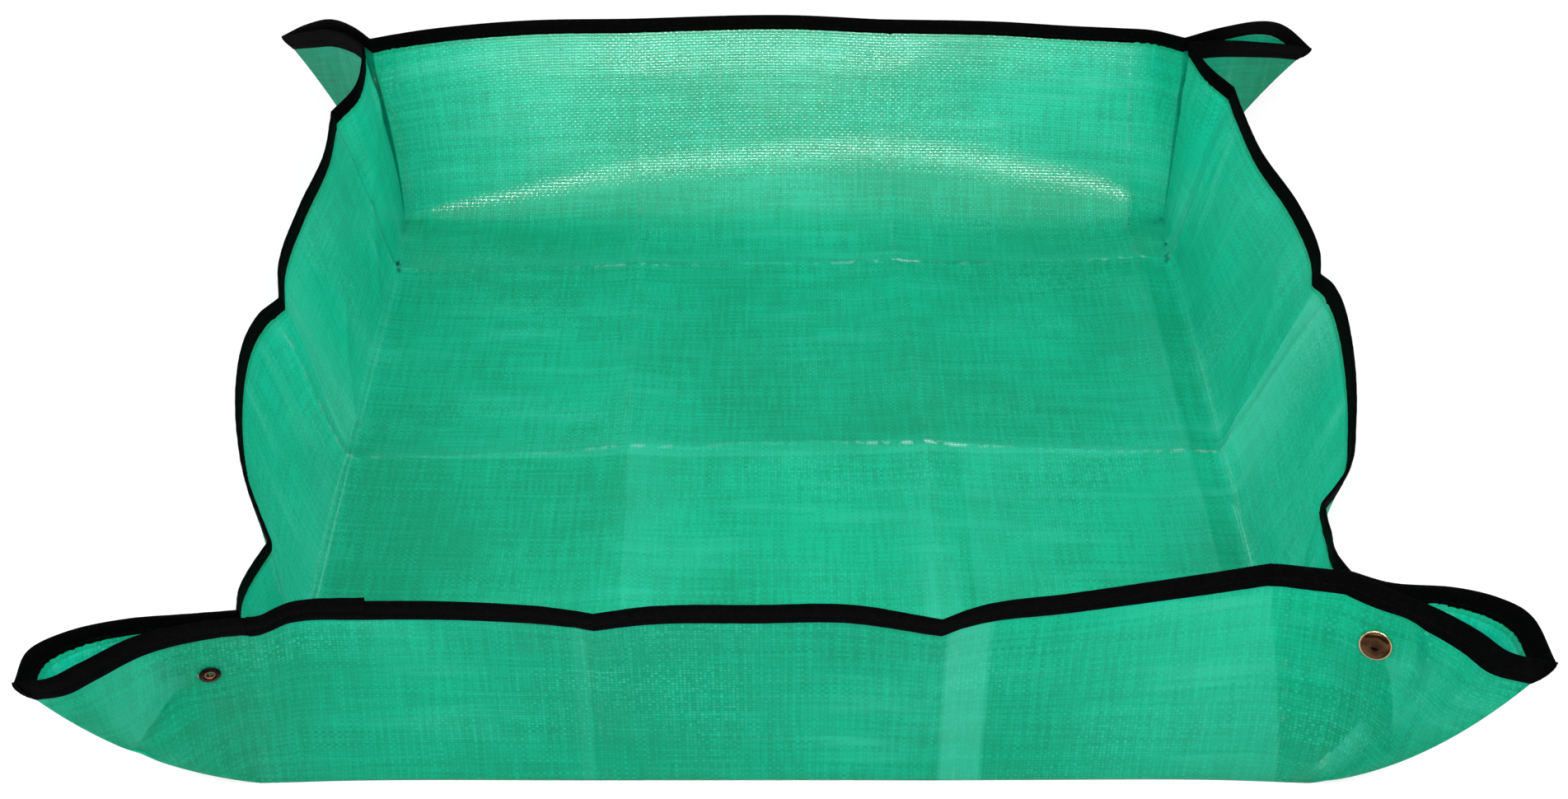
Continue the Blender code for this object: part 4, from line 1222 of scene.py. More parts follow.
def make_cloth():
    """Green coating over the weave: streaked tapes, creases, painted glints, sheen and shade."""
    material, tree, shader = new_material("coated_sheet")
    place = sheet_place(tree)
    woven = use_group(tree, weave, Place=place, Pitch=WEAVE_PITCH)
    worn_and_glinting = use_group(tree, crease_wear_and_glints, Place=place)
    x, y = x_and_y(place)
    pillow, patches = woven["Height"], noise_at(place, 7.0, 4.0)
    across, along = (noise_at(place, 1.0, 3.0, way) for way in ((380, 30, 0), (22, 380, 0)))
    streaks = mixed(woven["Over"], across, along, kind="FLOAT")
    tone = streaks * STREAK_TONE + woven["Tape"] * TAPE_TONE
    # The crowns of the weave lighter and its grooves darker: painted shade.
    tone = tone + patches * PATCH_TONE + pillow * PILLOW_PAINTED_SHADE
    colour = mixed(between(tone, 0.72, 1.04), GREEN_DEEP, GREEN_LIGHT)
    # Patches where some crossings get painted glints.
    mottled = between(noise_at(place, 14.0, 5.0, (0.6, 1.3, 0)), 0.48, 0.66)
    # Faint pale streaks across the sheet: painted sheen.
    painted_sheen_streaks = between(noise_at(place, 1.0, 3.0, (9, 70, 0)), 0.52, 0.72)
    painted_sheen_streaks = painted_sheen_streaks * between(patches, 0.45, 0.60, 0.05, 0.30)
    # Painted glints on the crowns of single crossings.
    cells = between(woven["Cell"], 0.30, 1.0) * between(pillow, 0.35, 0.95)
    painted_light = (mottled * cells).math("MULTIPLY_ADD", PAINTED_GLINT_CELLS, painted_sheen_streaks)
    # Painted light beside the folds and along two creases.
    for row in PAINTED_LIT_FACETS:
        painted_light = painted_light + facet_share(tree, place, *row)
    for middle, half, from_y, to_y, strength in PAINTED_LIT_STRIPS:
        strip = between(abs(x - middle), half + STRIP_EDGE, half - STRIP_EDGE)
        painted_light = painted_light + strip * between(y, to_y, from_y, 0.0, strength)
    colour = mixed(painted_light.math("MINIMUM", 1.0), colour, GREEN_PAINTED_LIGHT)
    # Crease wear, with painted glints near the crossings.
    chalk_and_glint = worn_and_glinting["Wear"] * between(pillow, 0.1, 0.8, 0.25, 1.0)
    colour = mixed(chalk_and_glint, colour, GREEN_CHALK_AND_GLINT)
    under = node(tree, "ShaderNodeAttribute", attribute_name="underside", output="Fac")
    shade = between(under, 0, 1, 1, UNDERSIDE_SHADE)
    folds = abs(noise_at(place, 13.0, 2.0) - 0.5)
    folds = folds + abs(noise_at(place, 70.0, 2.0) - 0.5) * (worn_and_glinting["Crossing"] * 0.9)
    height = (pillow + noise_at(place, 900.0, 2.0) * 0.25) * WEAVE_RELIEF
    normal = bumped(height - folds * CRUMPLE_HEIGHT)
    dull = between(patches, 0.35, 0.65, -0.03, 0.06)
    feed_by_name(
        tree, shader,
        Base_Color=node(tree, "ShaderNodeHueSaturation", 0.5, 1.0, shade, None, colour),
        Roughness=0.52,
        Specular_IOR_Level=between(under, 0.0, 1.0, SHINE_TOP, SHINE_UNDER),
        Coat_Weight=between(pillow, 0.25, 0.85, 0.25, 1.0)
        * between(under, 0.0, 1.0, COAT_TOP, COAT_UNDER),
        Coat_Roughness=between(woven["Tape"], 0.0, 1.0, 0.11, 0.18) + dull,
        Subsurface_Weight=0.4, Subsurface_Radius=(1, 1, 1), Subsurface_Scale=4 * MM,
        Normal=normal, Coat_Normal=normal,
    )
    return material


cloth = make_cloth()
print("cloth material:", len(cloth.node_tree.nodes), "nodes")

# %% [markdown]
# The tape is a matt black ribbon with a fine rib across it, and the thread is the same
# black with a little more shine. The snaps are brass that has been darkened to brown and
# is mottled lighter in patches, with a painted highlight round the cap's rim. Their
# hidden halves are nickel-plated steel.

# %% Tape, thread and metal
RIB_PITCH = 0.9 * MM
RIB_HEIGHT = 0.05 * MM
SCRATCH_HEIGHT = 0.006 * MM
CAP_RADIUS = 7.5 * MM
# A painted highlight round the cap's rim.
PAINTED_RIM_HIGHLIGHT = (0.80, 0.58, 0.34, 1)


def make_tape():
    """Black ribbon: ribs across, lint in patches."""
    material, tree, shader = new_material("binding_tape")
    place = sheet_place(tree)
    rib = (x_and_y(place)[0] * (2 * math.pi / RIB_PITCH)).math("SINE")
    lint = between(noise_at(place, 240.0, 4.0), 0.5, 0.75)
    feed_by_name(
        tree, shader,
        Base_Color=mixed(lint, (0.0004, 0.0004, 0.0004, 1), (0.0014, 0.0014, 0.0015, 1)),
        Roughness=between(rib, -1.0, 1.0, 0.82, 0.70),
        Specular_IOR_Level=0.03, Normal=bumped(rib * RIB_HEIGHT),
    )
    return material


def make_thread():
    """Black twisted thread: uneven tone and shine."""
    material, tree, shader = new_material("sewing_thread")
    place = node(tree, "ShaderNodeTexCoord", output="Object")
    twist = noise_at(place, 1500.0, 1.0)
    feed_by_name(
        tree, shader,
        Base_Color=mixed(twist, (0.0008, 0.0008, 0.0008, 1), (0.0030, 0.0030, 0.0032, 1)),
        Roughness=between(twist, 0.3, 0.7, 0.7, 0.9), Specular_IOR_Level=0.05,
    )
    return material


def make_metal(name, dark, bright, low, high):
    """Darkened metal, mottled, with a painted highlight round the cap's rim; finely scratched."""
    material, tree, shader = new_material(name)
    place = node(tree, "ShaderNodeTexCoord", output="Object")
    mottled = between(noise_at(place, 150.0, 3.0), 0.35, 0.80)
    radius = x_and_y(node(tree, "ShaderNodeUVMap", uv_map="turned"))[1]
    # The cap's rim painted bright: a painted highlight.
    edge = between(radius, CAP_RADIUS - 0.9 * MM, CAP_RADIUS - 0.3 * MM)
    scratch = noise_at(place, 1400.0, 3.0)
    feed_by_name(
        tree, shader,
        Base_Color=mixed(edge, mixed(mottled, (*dark, 1), (*bright, 1)), PAINTED_RIM_HIGHLIGHT),
        Roughness=between(scratch, 0.3, 0.7, low, high),
        Metallic=1.0, Normal=bumped(scratch * SCRATCH_HEIGHT),
    )
    return material


tape_look = make_tape()
thread_look = make_thread()
brass = make_metal("antique_brass", (0.045, 0.020, 0.009), (0.19, 0.095, 0.042), 0.16, 0.26)
blackened = make_metal(
    "blackened_brass", (0.006, 0.004, 0.003), (0.040, 0.022, 0.014), 0.20, 0.32
)
copper = make_metal("rubbed_brass", (0.30, 0.105, 0.060), (0.50, 0.20, 0.12), 0.22, 0.34)
steel = make_metal("snap_steel", (0.35, 0.34, 0.32), (0.55, 0.54, 0.51), 0.25, 0.40)
print("materials:", ", ".join(m.name for m in (cloth, tape_look, thread_look, brass, steel)))

# %% [markdown]
# ## Laying the cloth
#
# The floor is the rectangle inside the four margins. Each wall is a grid from its
# margin to its rim, and each ply a grid of its cone. The pieces that move with a
# peeling corner are objects of their own: the ply itself, and the last 62 mm of the
# wall beside it. Everything else is one object.

# %% The sheet's grids
MARGIN_ROW_COUNT = 12


def floor_surface():
    """Flat ground at the cloth's middle, as functions of x and y."""

    def points(x, y):
        x, y = paired(x, y)
        return np.stack([x, y, np.full_like(x, SHEET_MIDDLE)], axis=-1)

    def flat(x, y):
        x, y = paired(x, y)
        return np.stack([x, y], axis=-1)

    limits = ((-FLOOR_HALF, FLOOR_HALF), (-FLOOR_HALF, FLOOR_HALF))
    return points, flat, 1, (STEP, STEP), limits


def inset(shares, low_margin, high_margin):
    """Shares as places between the two margins of the floor."""
    reach = np.where(shares < 0, FLOOR_HALF - low_margin, FLOOR_HALF - high_margin)
    return shares * reach


surfaces = {name: clothed(wall_surface(wall)) for name, wall in walls.items()}
plies = {
    (name, ply): clothed(ply_surface(ear, ply)) for name, ear in ears.items() for ply in PLY_WORDS
}
main_parts = [
    shell(
        *grid_of(
            clothed(floor_surface()),
            inset(columns_x, walls["left"].margin, walls["right"].margin),
            inset(columns_y, walls["front"].margin, walls["back"].margin),
        )
    )
]
side_parts = {}
for name, wall in walls.items():
    columns = columns_x if wall.lies_x else columns_y
    below = np.linspace(-wall.margin, 0, MARGIN_ROW_COUNT)
    main_parts.append(shell(*grid_of(surfaces[name], columns, below)))
    low, high = kept_reach(wall)
    kept = columns[(columns >= low - MM) & (columns <= high + MM)]
    main_parts.append(shell(*grid_of(surfaces[name], kept, rises)))
    for end, corner in enumerate(wall.ears):
        if is_split(wall, end):
            turn = (-1, 1)[end]
            beside = columns[columns * turn >= SPLIT_SHARE - MM]
            side_parts[corner.name] = shell(*grid_of(surfaces[name], beside, rises))
flap_parts = {}
for (name, ply), surface in plies.items():
    part = shell(*grid_of(surface, ply_columns, rises / WALL_HEIGHT))
    if ply == ears[name].flap_ply:
        flap_parts[name] = part
    else:
        main_parts.append(part)

sheet_main = object_from("sheet_main", joined(main_parts), cloth)
sheet_flaps = {n: object_from("sheet_flap_" + n, p, cloth) for n, p in flap_parts.items()}
sheet_sides = {n: object_from("sheet_side_" + n, p, cloth) for n, p in side_parts.items()}
print("main sheet:", len(sheet_main.data.polygons), "faces")

# %% [markdown]
# ## The binding
#
# A 20 mm tape is folded over the raw edge and sewn down through all layers. Its
# section is a flattened loop: thick where it goes over the edge, thinner down the two
# legs, and pinched where the seam runs. The section is carried along the rim, always
# square to the cloth, and mitred at the corner lines. It puckers a little between
# stitches.

# %% The tape's section carried along a rim
TAPE_SECTION = tuple(
    (depth * MM, height * MM)
    for depth, height in (
        (8.0, 0.26), (7.8, 0.50), (7.2, 0.60), (6.5, 0.48), (5.8, 0.62), (4.2, 0.80),
        (2.0, 0.90), (0.3, 0.86), (-0.5, 0.64), (-0.9, 0.26), (-0.9, -0.26), (-0.5, -0.64),
        (0.3, -0.86), (2.0, -0.90), (4.2, -0.80), (5.8, -0.62), (6.5, -0.48), (7.3, -0.62),
        (9.3, -0.62), (11.0, -0.50), (11.3, -0.26),
    )
)
SEAM_DEPTH = 6.5 * MM
SEAM_HEIGHT = 0.55 * MM
TAPE_STEP = 2.2 * MM
EAR_RUN_COUNT = 44
MITRE_LIMIT = 0.45


def edge_run(surface, places, top, per_metre):
    """Base and normal at each depth of the section; depths below zero reach out past the rim."""
    points, flat, side, steps, limits = surface
    rim = points(places, np.full_like(places, top))
    low = points(places, np.full_like(places, top - TAPE_DEPTH * per_metre))
    outwards = unit(rim - low)
    bases, normals = [], []
    for depth, _ in TAPE_SECTION + ((SEAM_DEPTH, 0),):
        second = np.full_like(places, top - max(depth, 0) * per_metre)
        base = points(places, second) + max(-depth, 0) * outwards
        bases.append(base)
        normals.append(normals_of(points, side, steps, limits, places, second))
    return np.stack(bases, axis=1), np.stack(normals, axis=1)


def wall_run(name, low, high):
    """A wall's rim between two shares, with a column on each kink."""
    wall = walls[name]
    count = max(3, round((high - low) * FLOOR_HALF / TAPE_STEP) + 1)
    places = np.linspace(low, high, count)
    for knot, kink in zip(wall.knots, wall.kinks):
        near = np.argmin(np.abs(places - knot))
        if kink and 0 < near < count - 1:
            places[near] = knot
    return edge_run(surfaces[name], places, WALL_HEIGHT, 1.0)


def ply_run(name, ply):
    """A ply's rim from the neck to the tip."""
    places = np.linspace(0, 1, EAR_RUN_COUNT)
    return edge_run(plies[name, ply], places, 1.0, 1 / WALL_HEIGHT)


def mitred(first, second):
    """The offset that keeps both runs' full height where they meet."""
    dot = (first * second).sum(axis=-1, keepdims=True)
    return (first + second) / np.maximum(1 + dot, MITRE_LIMIT)


def turned(run):
    """The same run taken from its other end."""
    return run[0][::-1].copy(), run[1][::-1].copy()


def meet(first, second):
    """Give two runs that meet the same mitred offset at their common place."""
    offset = mitred(first[1][-1], second[1][0])
    first[1][-1] = offset
    second[1][0] = offset


def chained(runs):
    """Several runs as one, each common place kept once."""
    return tuple(
        np.concatenate([runs[0][i]] + [run[i][1:] for run in runs[1:]]) for i in (0, 1)
    )


print("tape section:", len(TAPE_SECTION), "places, seam", SEAM_DEPTH / MM, "mm from the rim")

# %% [markdown]
# The section now becomes a body along its run. The stitches pull the tape in a little
# and it puckers between them, which three sine waves of unlike length stand for.

# %% The tape as a closed body
TIP_REACH = 5 * MM
TIP_BULGE = 2.2 * MM
TIP_MIDDLE, TIP_HALF = 4.0 * MM, 5.2 * MM
MID_SECTION = 8
TAPE_SHARP = 50
PUCKERS = ((0.07, 620, 0), (0.05, 253, 2), (0.04, 91, 0))


def arc_along(line):
    """The way from the line's start to each of its places."""
    return np.concatenate([[0], np.cumsum(np.linalg.norm(np.diff(line, axis=0), axis=-1))])


def tape_object(name, run, round_ends=(False, False), bulk=1.0, raised=0.0):
    """The section carried along a run and closed.

    At an ear's tip it bulges past the fold, by a share of a circle over the section.
    A second layer has more bulk, and can rise outwards evenly from one end of the run.
    """
    bases, normals = run[0][:, :-1].copy(), run[1][:, :-1]
    arc = arc_along(bases[:, MID_SECTION])
    depth, height = np.array(TAPE_SECTION).T * [[1], [bulk]]
    outwards = unit(bases[:, MID_SECTION] - bases[:, 0])[:, None]
    bases += raised * (arc / arc[-1])[:, None, None] * outwards
    round_share = np.sqrt(np.clip(1 - ((depth - TIP_MIDDLE) / TIP_HALF) ** 2, 0, 1))
    ends = ((arc, bases[0] - bases[1]), (arc[-1] - arc, bases[-1] - bases[-2]))
    for rounded, (to_end, way) in zip(round_ends, ends):
        if rounded:
            bulge = TIP_BULGE * np.clip(1 - to_end / TIP_REACH, 0, 1) ** 2
            bases += (bulge[:, None] * round_share[None, :])[..., None] * unit(way)[None]
    pucker = 1 + sum(size * np.sin(arc * pace + start) for size, pace, start in PUCKERS)
    points = bases + normals * (height[None, :] * pucker[:, None])[..., None]
    count, sides = points.shape[:2]
    index = np.arange(count * sides).reshape(count, sides)
    after = np.roll(index, -1, axis=1)
    faces = np.stack([index[:-1], after[:-1], after[1:], index[1:]], axis=-1).reshape(-1, 4)
    faces = faces.tolist() + [index[0].tolist(), index[-1, ::-1].tolist()]
    flat = np.stack([np.repeat(arc, sides), np.tile(depth, count)], axis=-1)
    return face_outwards(mesh_object(name, points, faces, tape_look, flat), TAPE_SHARP)


print("tape's thickest place, mm:", round(2 * max(rise for _, rise in TAPE_SECTION) / MM, 2))

# %% [markdown]
# ## The stitches
#
# A lockstitch shows as short threads that lie in a row on both faces of the tape, each
# dipping into the cloth at its ends. Every stitch is the same small spindle, bent down
# at its ends, and placed by the distance along the seam.

# %% A row of stitches along a seam
STITCH_PITCH = 3.6 * MM
STITCH_LENGTH = 2.9 * MM
THREAD_RADIUS = 0.24 * MM
STITCH_RINGS = (
    # share of the length, then width and rise in thread radii
    (0.0, 0.25, -0.9), (0.12, 0.85, -0.2), (0.5, 1.0, 0.25), (0.88, 0.85, -0.2), (1.0, 0.25, -0.9),
)
STITCH_SIDES = 6


def stitch_object(name, run):
    """Spindles of five rings on both faces, spaced by arc length along the seam."""
    base, normal = run[0][:, -1], run[1][:, -1]
    arc = arc_along(base)
    count = max(1, int(arc[-1] / STITCH_PITCH))
    starts = (arc[-1] - (count - 1) * STITCH_PITCH - STITCH_LENGTH) / 2
    starts = starts + STITCH_PITCH * np.arange(count)

    def at(values, where):
        return np.stack([np.interp(where, arc, values[:, i]) for i in range(3)], axis=-1)

    turns = np.linspace(0, 2 * math.pi, STITCH_SIDES, endpoint=False)
    points = []
    for face in (1, -1):
        rings = []
        run_way = unit(at(base, starts + STITCH_LENGTH) - at(base, starts))
        for share, wide, dip in STITCH_RINGS:
            where = starts + share * STITCH_LENGTH
            up = unit(at(normal, where)) * face
            side = unit(np.cross(run_way, up))
            centre = at(base, where) + up * (SEAM_HEIGHT + dip * THREAD_RADIUS)
            spoke = side[:, None] * np.cos(turns)[:, None] + up[:, None] * np.sin(turns)[:, None]
            rings.append(centre[:, None] + spoke * wide * THREAD_RADIUS)
        points.append(np.stack(rings, axis=1))
    points = np.concatenate(points)
    number, ring_count = points.shape[:2]
    index = np.arange(number * ring_count * STITCH_SIDES).reshape(number, ring_count, STITCH_SIDES)
    after = np.roll(index, -1, axis=2)
    quads = np.stack([index[:, :-1], after[:, :-1], after[:, 1:], index[:, 1:]], axis=-1)
    ends = np.concatenate([index[:, 0], index[:, -1, ::-1]])
    faces = quads.reshape(-1, 4).tolist() + ends.tolist()
    return face_outwards(mesh_object(name, points, faces, thread_look))


print("stitches per metre on each face:", round(1 / STITCH_PITCH))

# %% [markdown]
# The runs are chained as the real tape goes round: where a ply stays with the tray, its
# edge belongs to the wall's tape; where it peels, its tape is an object of its own, and
# so is the tape on the stretch of wall beside it. Near the front left corner the tape's
# two ends overlap, and the cut end stands a little above the rim: the splice.

# %% Tapes and stitches of every rim
SPLICE_SHARES = (-0.985, -0.765)
SPLICE_BULK, SPLICE_RISE = 1.7, 1.8 * MM
tapes, seams = {}, {}
for name, wall in walls.items():
    split = [is_split(wall, end) for end in (0, 1)]
    runs = [wall_run(name, *kept_reach(wall))]
    for end, corner in enumerate(wall.ears):
        ply = ply_run(corner.name, wall.ply)
        if split[end]:
            side_run = wall_run(name, *((SPLIT_SHARE, 1) if end else (-1, -SPLIT_SHARE)))
            if end == 0:
                side_run = turned(side_run)
            meet(side_run, ply)
            for word, run in (("side_", side_run), ("flap_", ply)):
                tip = (False, word == "flap_")
                tapes[word + corner.name] = tape_object("tape_" + word + corner.name, run, tip)
                seams[word + corner.name] = stitch_object("stitches_" + word + corner.name, run)
        elif end == 0:
            before = turned(ply)
            meet(before, runs[0])
            runs = [before] + runs
        else:
            meet(runs[-1], ply)
            runs = runs + [ply]
    tips = (not split[0], not split[1])
    tapes[name] = tape_object("tape_" + name, chained(runs), tips)
    seams[name] = stitch_object("stitches_" + name, chained(runs))
splice_run = wall_run("front", *SPLICE_SHARES)
splice = tape_object("tape_splice", splice_run, bulk=SPLICE_BULK, raised=SPLICE_RISE)
print("tapes:", len(tapes), "stitches:", sum(len(s.data.polygons) for s in seams.values()) // 26)

# %% [markdown]
# ## The snaps
#
# What shows of a press snap is turned metal: a domed cap on one side, and on the other
# the rolled collar of the eyelet that holds the stud, with the stud's ring in it. All
# are profiles carried round the snap's axis. The socket, the spring and the stud stay
# inside, between the plies, and keep the solids' own shapes.

# %% Caps and eyelets
CAP_SEAT = SNAP_HALF_SPACE + 0.25 * MM
LATHE_STEPS = 64
LATHE_SHARP = 60
CAP_PROFILE = (
    (0.0, 1.25), (0.7, 1.22), (1.3, 1.36), (1.9, 1.70), (2.6, 1.86), (4.0, 1.82), (5.2, 1.62),
    (6.0, 1.26), (6.4, 0.98), (6.65, 0.90), (6.9, 1.06), (7.2, 1.08), (7.5, 0.72), (7.42, 0.30),
    (7.15, 0.08), (6.6, 0.0), (0.0, 0.0),
)
EYELET_PROFILE = (
    (0.0, -1.0), (2.6, -1.0), (2.6, 0.50), (2.75, 0.86), (3.1, 0.98), (3.6, 0.92), (4.0, 0.70),
    (4.4, 0.66), (4.75, 0.52), (4.9, 0.28), (4.8, 0.06), (4.5, 0.0), (2.9, -1.2), (0.0, -1.2),
)
RING_PROFILE = (
    (1.75, -0.98), (1.75, 0.30), (1.88, 0.54), (2.12, 0.64), (2.38, 0.54), (2.52, 0.30),
    (2.52, -0.98),
)


def lathe_object(name, profile, centre, axis, side, material):
    """A closed profile of (radius, height) in mm carried round an axis."""
    turns = np.linspace(0, 2 * math.pi, LATHE_STEPS, endpoint=False)
    spokes = np.cos(turns)[:, None] * side + np.sin(turns)[:, None] * np.cross(axis, side)
    radii, heights = np.array(profile).T * MM
    rings = centre + spokes[:, None] * radii[None, :, None] + heights[None, :, None] * axis
    index = np.arange(LATHE_STEPS * len(profile)).reshape(LATHE_STEPS, len(profile))
    ahead = np.roll(index, -1, axis=0)
    quads = np.stack([index, ahead, np.roll(ahead, -1, axis=1), np.roll(index, -1, axis=1)], -1)
    turned_map = np.stack(np.broadcast_arrays(turns[:, None], radii[None, :]), axis=-1)
    part = {
        "points": rings.reshape(-1, 3),
        "faces": quads.reshape(-1, 4),
        "flat": turned_map.reshape(-1, 2),
    }
    return face_outwards(object_from(name, part, material, "turned"), LATHE_SHARP)


caps, eyelets, rings = {}, {}, {}
for name, ear in ears.items():
    for made, word, profile, way, look in (
        (caps, "cap_", CAP_PROFILE, ear.snap_axis * ear.cap_ply, brass),
        (eyelets, "eyelet_", EYELET_PROFILE, -ear.snap_axis * ear.cap_ply, blackened),
        (rings, "stud_ring_", RING_PROFILE, -ear.snap_axis * ear.cap_ply, copper),
    ):
        seat = ear.snap_centre + way * CAP_SEAT
        made[name] = lathe_object(word + name, profile, seat, way, ear.snap_side, look)
for name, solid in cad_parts.items():
    if name.startswith(("snap_socket", "snap_spring", "snap_stud")):
        for slot in solid.material_slots:
            slot.material = steel
print("caps:", len(caps), "of", len(caps["front_right"].data.vertices), "places each")

# %% [markdown]
# ## What moves with what
#
# The solids' bodies say how the real mat comes apart: each corner's ply peels about its
# diagonal fold. The rigid pieces ride on a body. For the cloth that crosses the joint,
# the lines of a blend are worked out, still at the fold and at the far end of its stretch
# of wall and moving in full where the snap is, but no blend is applied.

# %% Bodies and blend lines
PEEL_SHARE = 0.6  # how far up the corner line the cloth first moves in full
STRAIGHT_LINE = 0.01  # a corner line that bows by less than about this counts as straight


def blend_lines(ear):
    """Start and end of the blend for the ply and for the wall beside it.

    The wall's line leans with the cut at its stretch's far end, so nothing moves there.
    The ply's line is still along the fold, and gives every place of the bowed corner
    line the same share of the motion as the wall's line gives it.
    """
    rises = np.array([0.5, 1.0])
    middle, neck = ear.ply_points(np.zeros(2), rises, ear.flap_ply) - ear.foot
    wall_way = np.array([ear.side_x, 0, 0]) if ear.flap_ply > 0 else np.array([0, ear.side_y, 0])
    slant = unit(wall_way + np.array([0, 0, (1 - SPLIT_SHARE) * FLOOR_HALF / WALL_HEIGHT]))
    for_wall = slant / (PEEL_SHARE * (neck @ slant))
    still = WALL_HEIGHT * unit(ear.tip - ear.foot)
    shares = [0, middle @ for_wall, neck @ for_wall]
    for_ply = np.linalg.lstsq(np.array([still, middle, neck]), shares, rcond=STRAIGHT_LINE)[0]
    return [(ear.foot, ear.foot + way / (way @ way)) for way in (for_ply, for_wall)]


for name, ear in ears.items():
    flap = "flap_" + name
    for_ply, for_wall = blend_lines(ear)
    for made in (sheet_flaps[name], tapes["flap_" + name], seams["flap_" + name]):
        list(for_ply)
        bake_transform(made)
    beside = [sheet_sides[name], tapes["side_" + name], seams["side_" + name]]
    for made in beside + ([splice] if name == "front_left" else []):
        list(for_wall)
        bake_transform(made)
    moving = ear.cap_ply == ear.flap_ply
    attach(caps[name], flap if moving else "tray")
    for made in (eyelets[name], rings[name]):
        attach(made, "tray" if moving else flap)
    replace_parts(sheet_flaps[name], f"ear_{PLY_WORDS[ear.flap_ply]}_{name}")
    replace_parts(tapes["flap_" + name], "ear_binding_" + name)
    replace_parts(seams["flap_" + name], "ear_thread_" + name)
    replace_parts(caps[name], "snap_cap_" + name)
    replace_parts(eyelets[name], "snap_eyelet_" + name)
main_hem = [tapes[name] for name in walls] + [seams[name] for name in walls]
for made in [sheet_main] + main_hem:
    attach(made, "tray")
fixed = [f"ear_{PLY_WORDS[-ear.flap_ply]}_{name}" for name, ear in ears.items()]
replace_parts(sheet_main, "floor_panel", *[name + "_wall" for name in walls], *fixed)
for name in walls:
    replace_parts(tapes[name], "binding_" + name)
    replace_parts(seams[name], "thread_" + name)
for group, slot in (
    ([sheet_main, *sheet_flaps.values(), *sheet_sides.values()], "coated_sheet"),
    ([splice, *tapes.values()], "binding_tape"),
    (seams.values(), "sewing_thread"),
    ([*caps.values(), *eyelets.values(), *rings.values()], "antique_brass"),
):
    for made in group:
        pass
print("blended pieces:", 6 * len(ears) + 1)

# %% [markdown]
# ## The cloth's flat size
#
# All the cloth is one square of 0.75 m. The four peeling plies are half of a 125 mm
# square each, and the stretches of wall beside them are 62.5 by 125 mm. The main piece
# is the rest of the square.

SIDE_WIDTH = (1 - SPLIT_SHARE) * FLOOR_HALF
flap_area = WALL_HEIGHT**2 / 2
side_area = SIDE_WIDTH * WALL_HEIGHT
for name in ears:
    for made, word, width, area in (
        (sheet_flaps[name], "flap_", WALL_HEIGHT, flap_area),
        (sheet_sides[name], "side_", SIDE_WIDTH, side_area),
    ):
        hem = (tapes[word + name], seams[word + name])

# %% [markdown]
# ## Ground, light and camera
#
# The photograph has a plain white ground. A brighter lamp would whiten the mat as well,
# so the ground gives a little light of its own, which only the camera and reflections
# see, and its grey base keeps the mat's soft shadow.

# %% The ground
GLOSSY_SHARE = 0.2
GROUND_REACH = 12.0
GROUND_DROP = 0.1 * MM


def make_ground():
    """A white plane that keeps the soft shadow and is seen a little brighter than lit."""
    material, tree, shader = new_material("ground")
    rays = outputs_of(tree, tree.nodes.new("ShaderNodeLightPath"))
    glossy = rays["Is Glossy Ray"] * GLOSSY_SHARE
    seen = rays["Is Camera Ray"].math("MAXIMUM", glossy)
    feed_by_name(
        tree, shader,
        Base_Color=(0.60, 0.60, 0.60, 1), Roughness=1.0, Specular_IOR_Level=0.0,
        Emission_Color=(0.50, 0.50, 0.50, 1),
        Emission_Strength=seen.math("MAXIMUM", rays["Is Transmission Ray"]),
    )
    corners = np.array([(-1, -1, 0), (1, -1, 0), (1, 1, 0), (-1, 1, 0)]) * GROUND_REACH
    made = mesh_object("ground", corners, [(0, 1, 2, 3)], material)
    made.location.z = -GROUND_DROP


make_ground()
print("ground:", 2 * GROUND_REACH, "m across")

# %% [markdown]
# The light is soft studio light. A long narrow lamp in front and above is what draws the
# bright band on the back wall's bend: the bend has every slope from flat to steep, and
# the one that mirrors the lamp towards the camera lights up. A weak lamp overhead and
# four boxes at the sides fill the rest evenly.

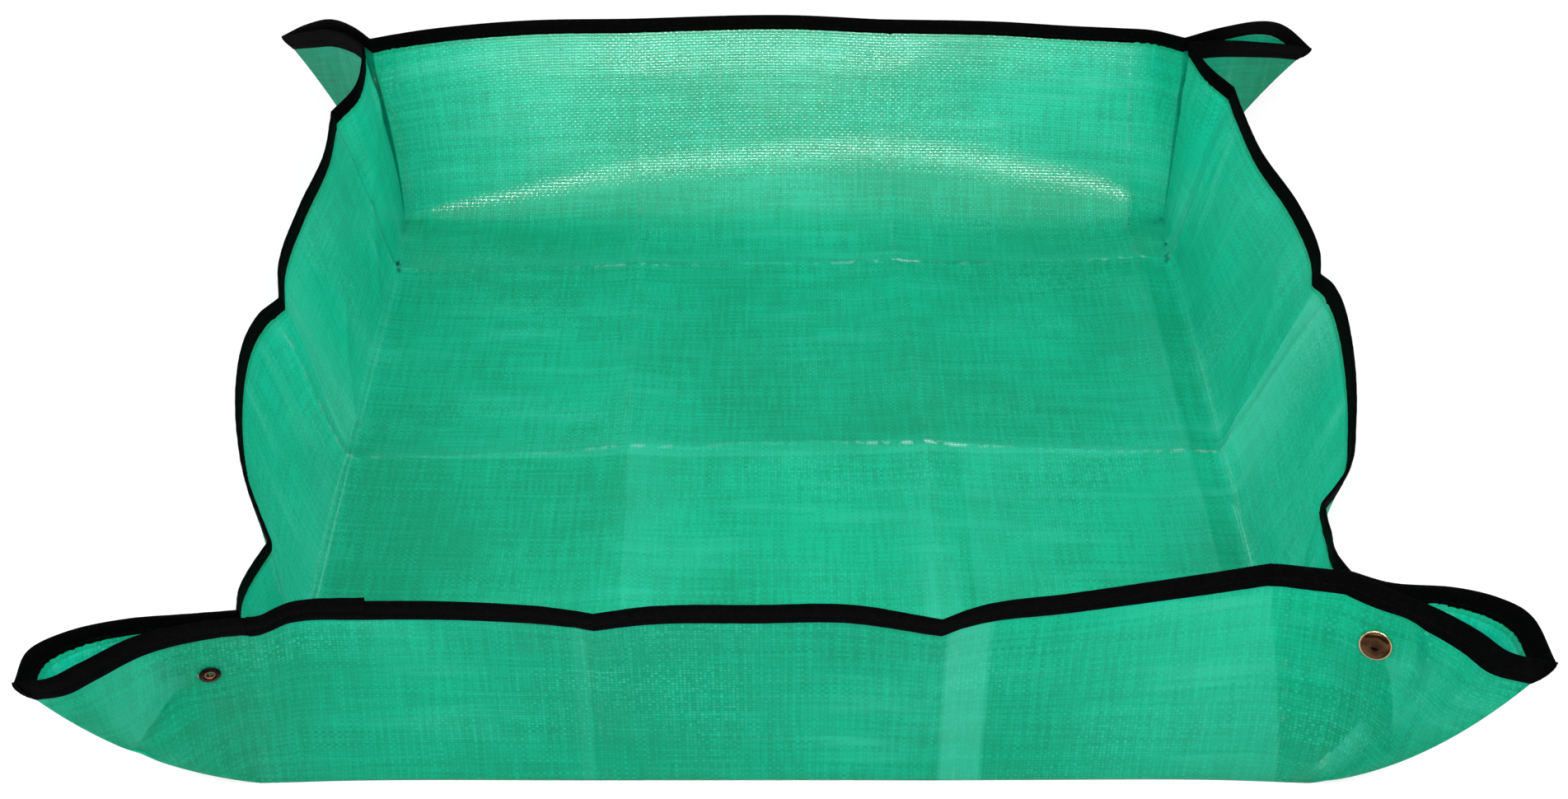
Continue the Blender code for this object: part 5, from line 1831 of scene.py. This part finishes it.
# %% The world and the lamps
def make_world(strength):
    """Even white light from all round, and pure white where the camera sees past."""
    world = bpy.data.worlds.new("white room")
    world.use_nodes = True
    tree = world.node_tree
    seen = node(tree, "ShaderNodeLightPath", output="Is Camera Ray")
    strengths = between(seen, 0.0, 1.0, strength, 1.0)
    feed_by_name(tree, tree.nodes["Background"], Color=(1, 1, 1, 1), Strength=strengths)
    bpy.context.scene.world = world


def add_lamp(name, place, target, size, power):
    """A rectangular area lamp aimed at a target."""
    lamp = bpy.data.lights.new(name, "AREA")
    lamp.shape = "RECTANGLE"
    lamp.size, lamp.size_y = size
    lamp.energy = power
    made = bpy.data.objects.new(name, lamp)
    made.location = place
    aim = Vector(target) - Vector(place)
    made.rotation_euler = aim.to_track_quat("-Z", "Y").to_euler()
    bpy.context.scene.collection.objects.link(made)


WORLD_STRENGTH = 0.12
MAT_MIDDLE = (0.0, 0.0, 0.05)
make_world(WORLD_STRENGTH)
add_lamp("key strip", (0.0, -1.23, 1.29), (0.0, 0.28, 0.05), (2.3, 0.13), 38)
add_lamp("overhead", (0.0, -0.2, 2.0), (0.0, 0.0, 0.0), (2.0, 1.2), 7)
for word, side in (("left", -1), ("right", 1)):
    add_lamp(word + " back box", (1.4 * side, 1.5, 0.75), MAT_MIDDLE, (1.2, 0.8), 6)
    add_lamp(word + " front box", (1.6 * side, -0.8, 1.4), MAT_MIDDLE, (1.2, 1.0), 12)

# %% [markdown]
# The camera is worked out and not set by eye: the four fold lines form a true square,
# and only one place, tilt and focal length shows a square as the photograph does.

# %% The camera, found from the square sheet in the photograph
PHOTO_WIDTH, PHOTO_HEIGHT = 1903, 970
FOCAL_PIXELS = 2671.0
LOOKS_DOWN = 37.3
CAMERA_PLACE = (0.0, -0.9747, 0.7824)
lens = bpy.data.cameras.new("camera")
lens.sensor_width = 36.0
lens.lens = FOCAL_PIXELS / PHOTO_WIDTH * lens.sensor_width
camera = bpy.data.objects.new("camera", lens)
camera.location = CAMERA_PLACE
camera.rotation_euler = (math.radians(90 - LOOKS_DOWN), 0.0, 0.0)
bpy.context.scene.collection.objects.link(camera)
bpy.context.scene.camera = camera
bpy.context.scene.view_settings.view_transform = "Standard"
print("lens:", round(lens.lens, 2), "mm for a picture of", PHOTO_WIDTH, "by", PHOTO_HEIGHT)
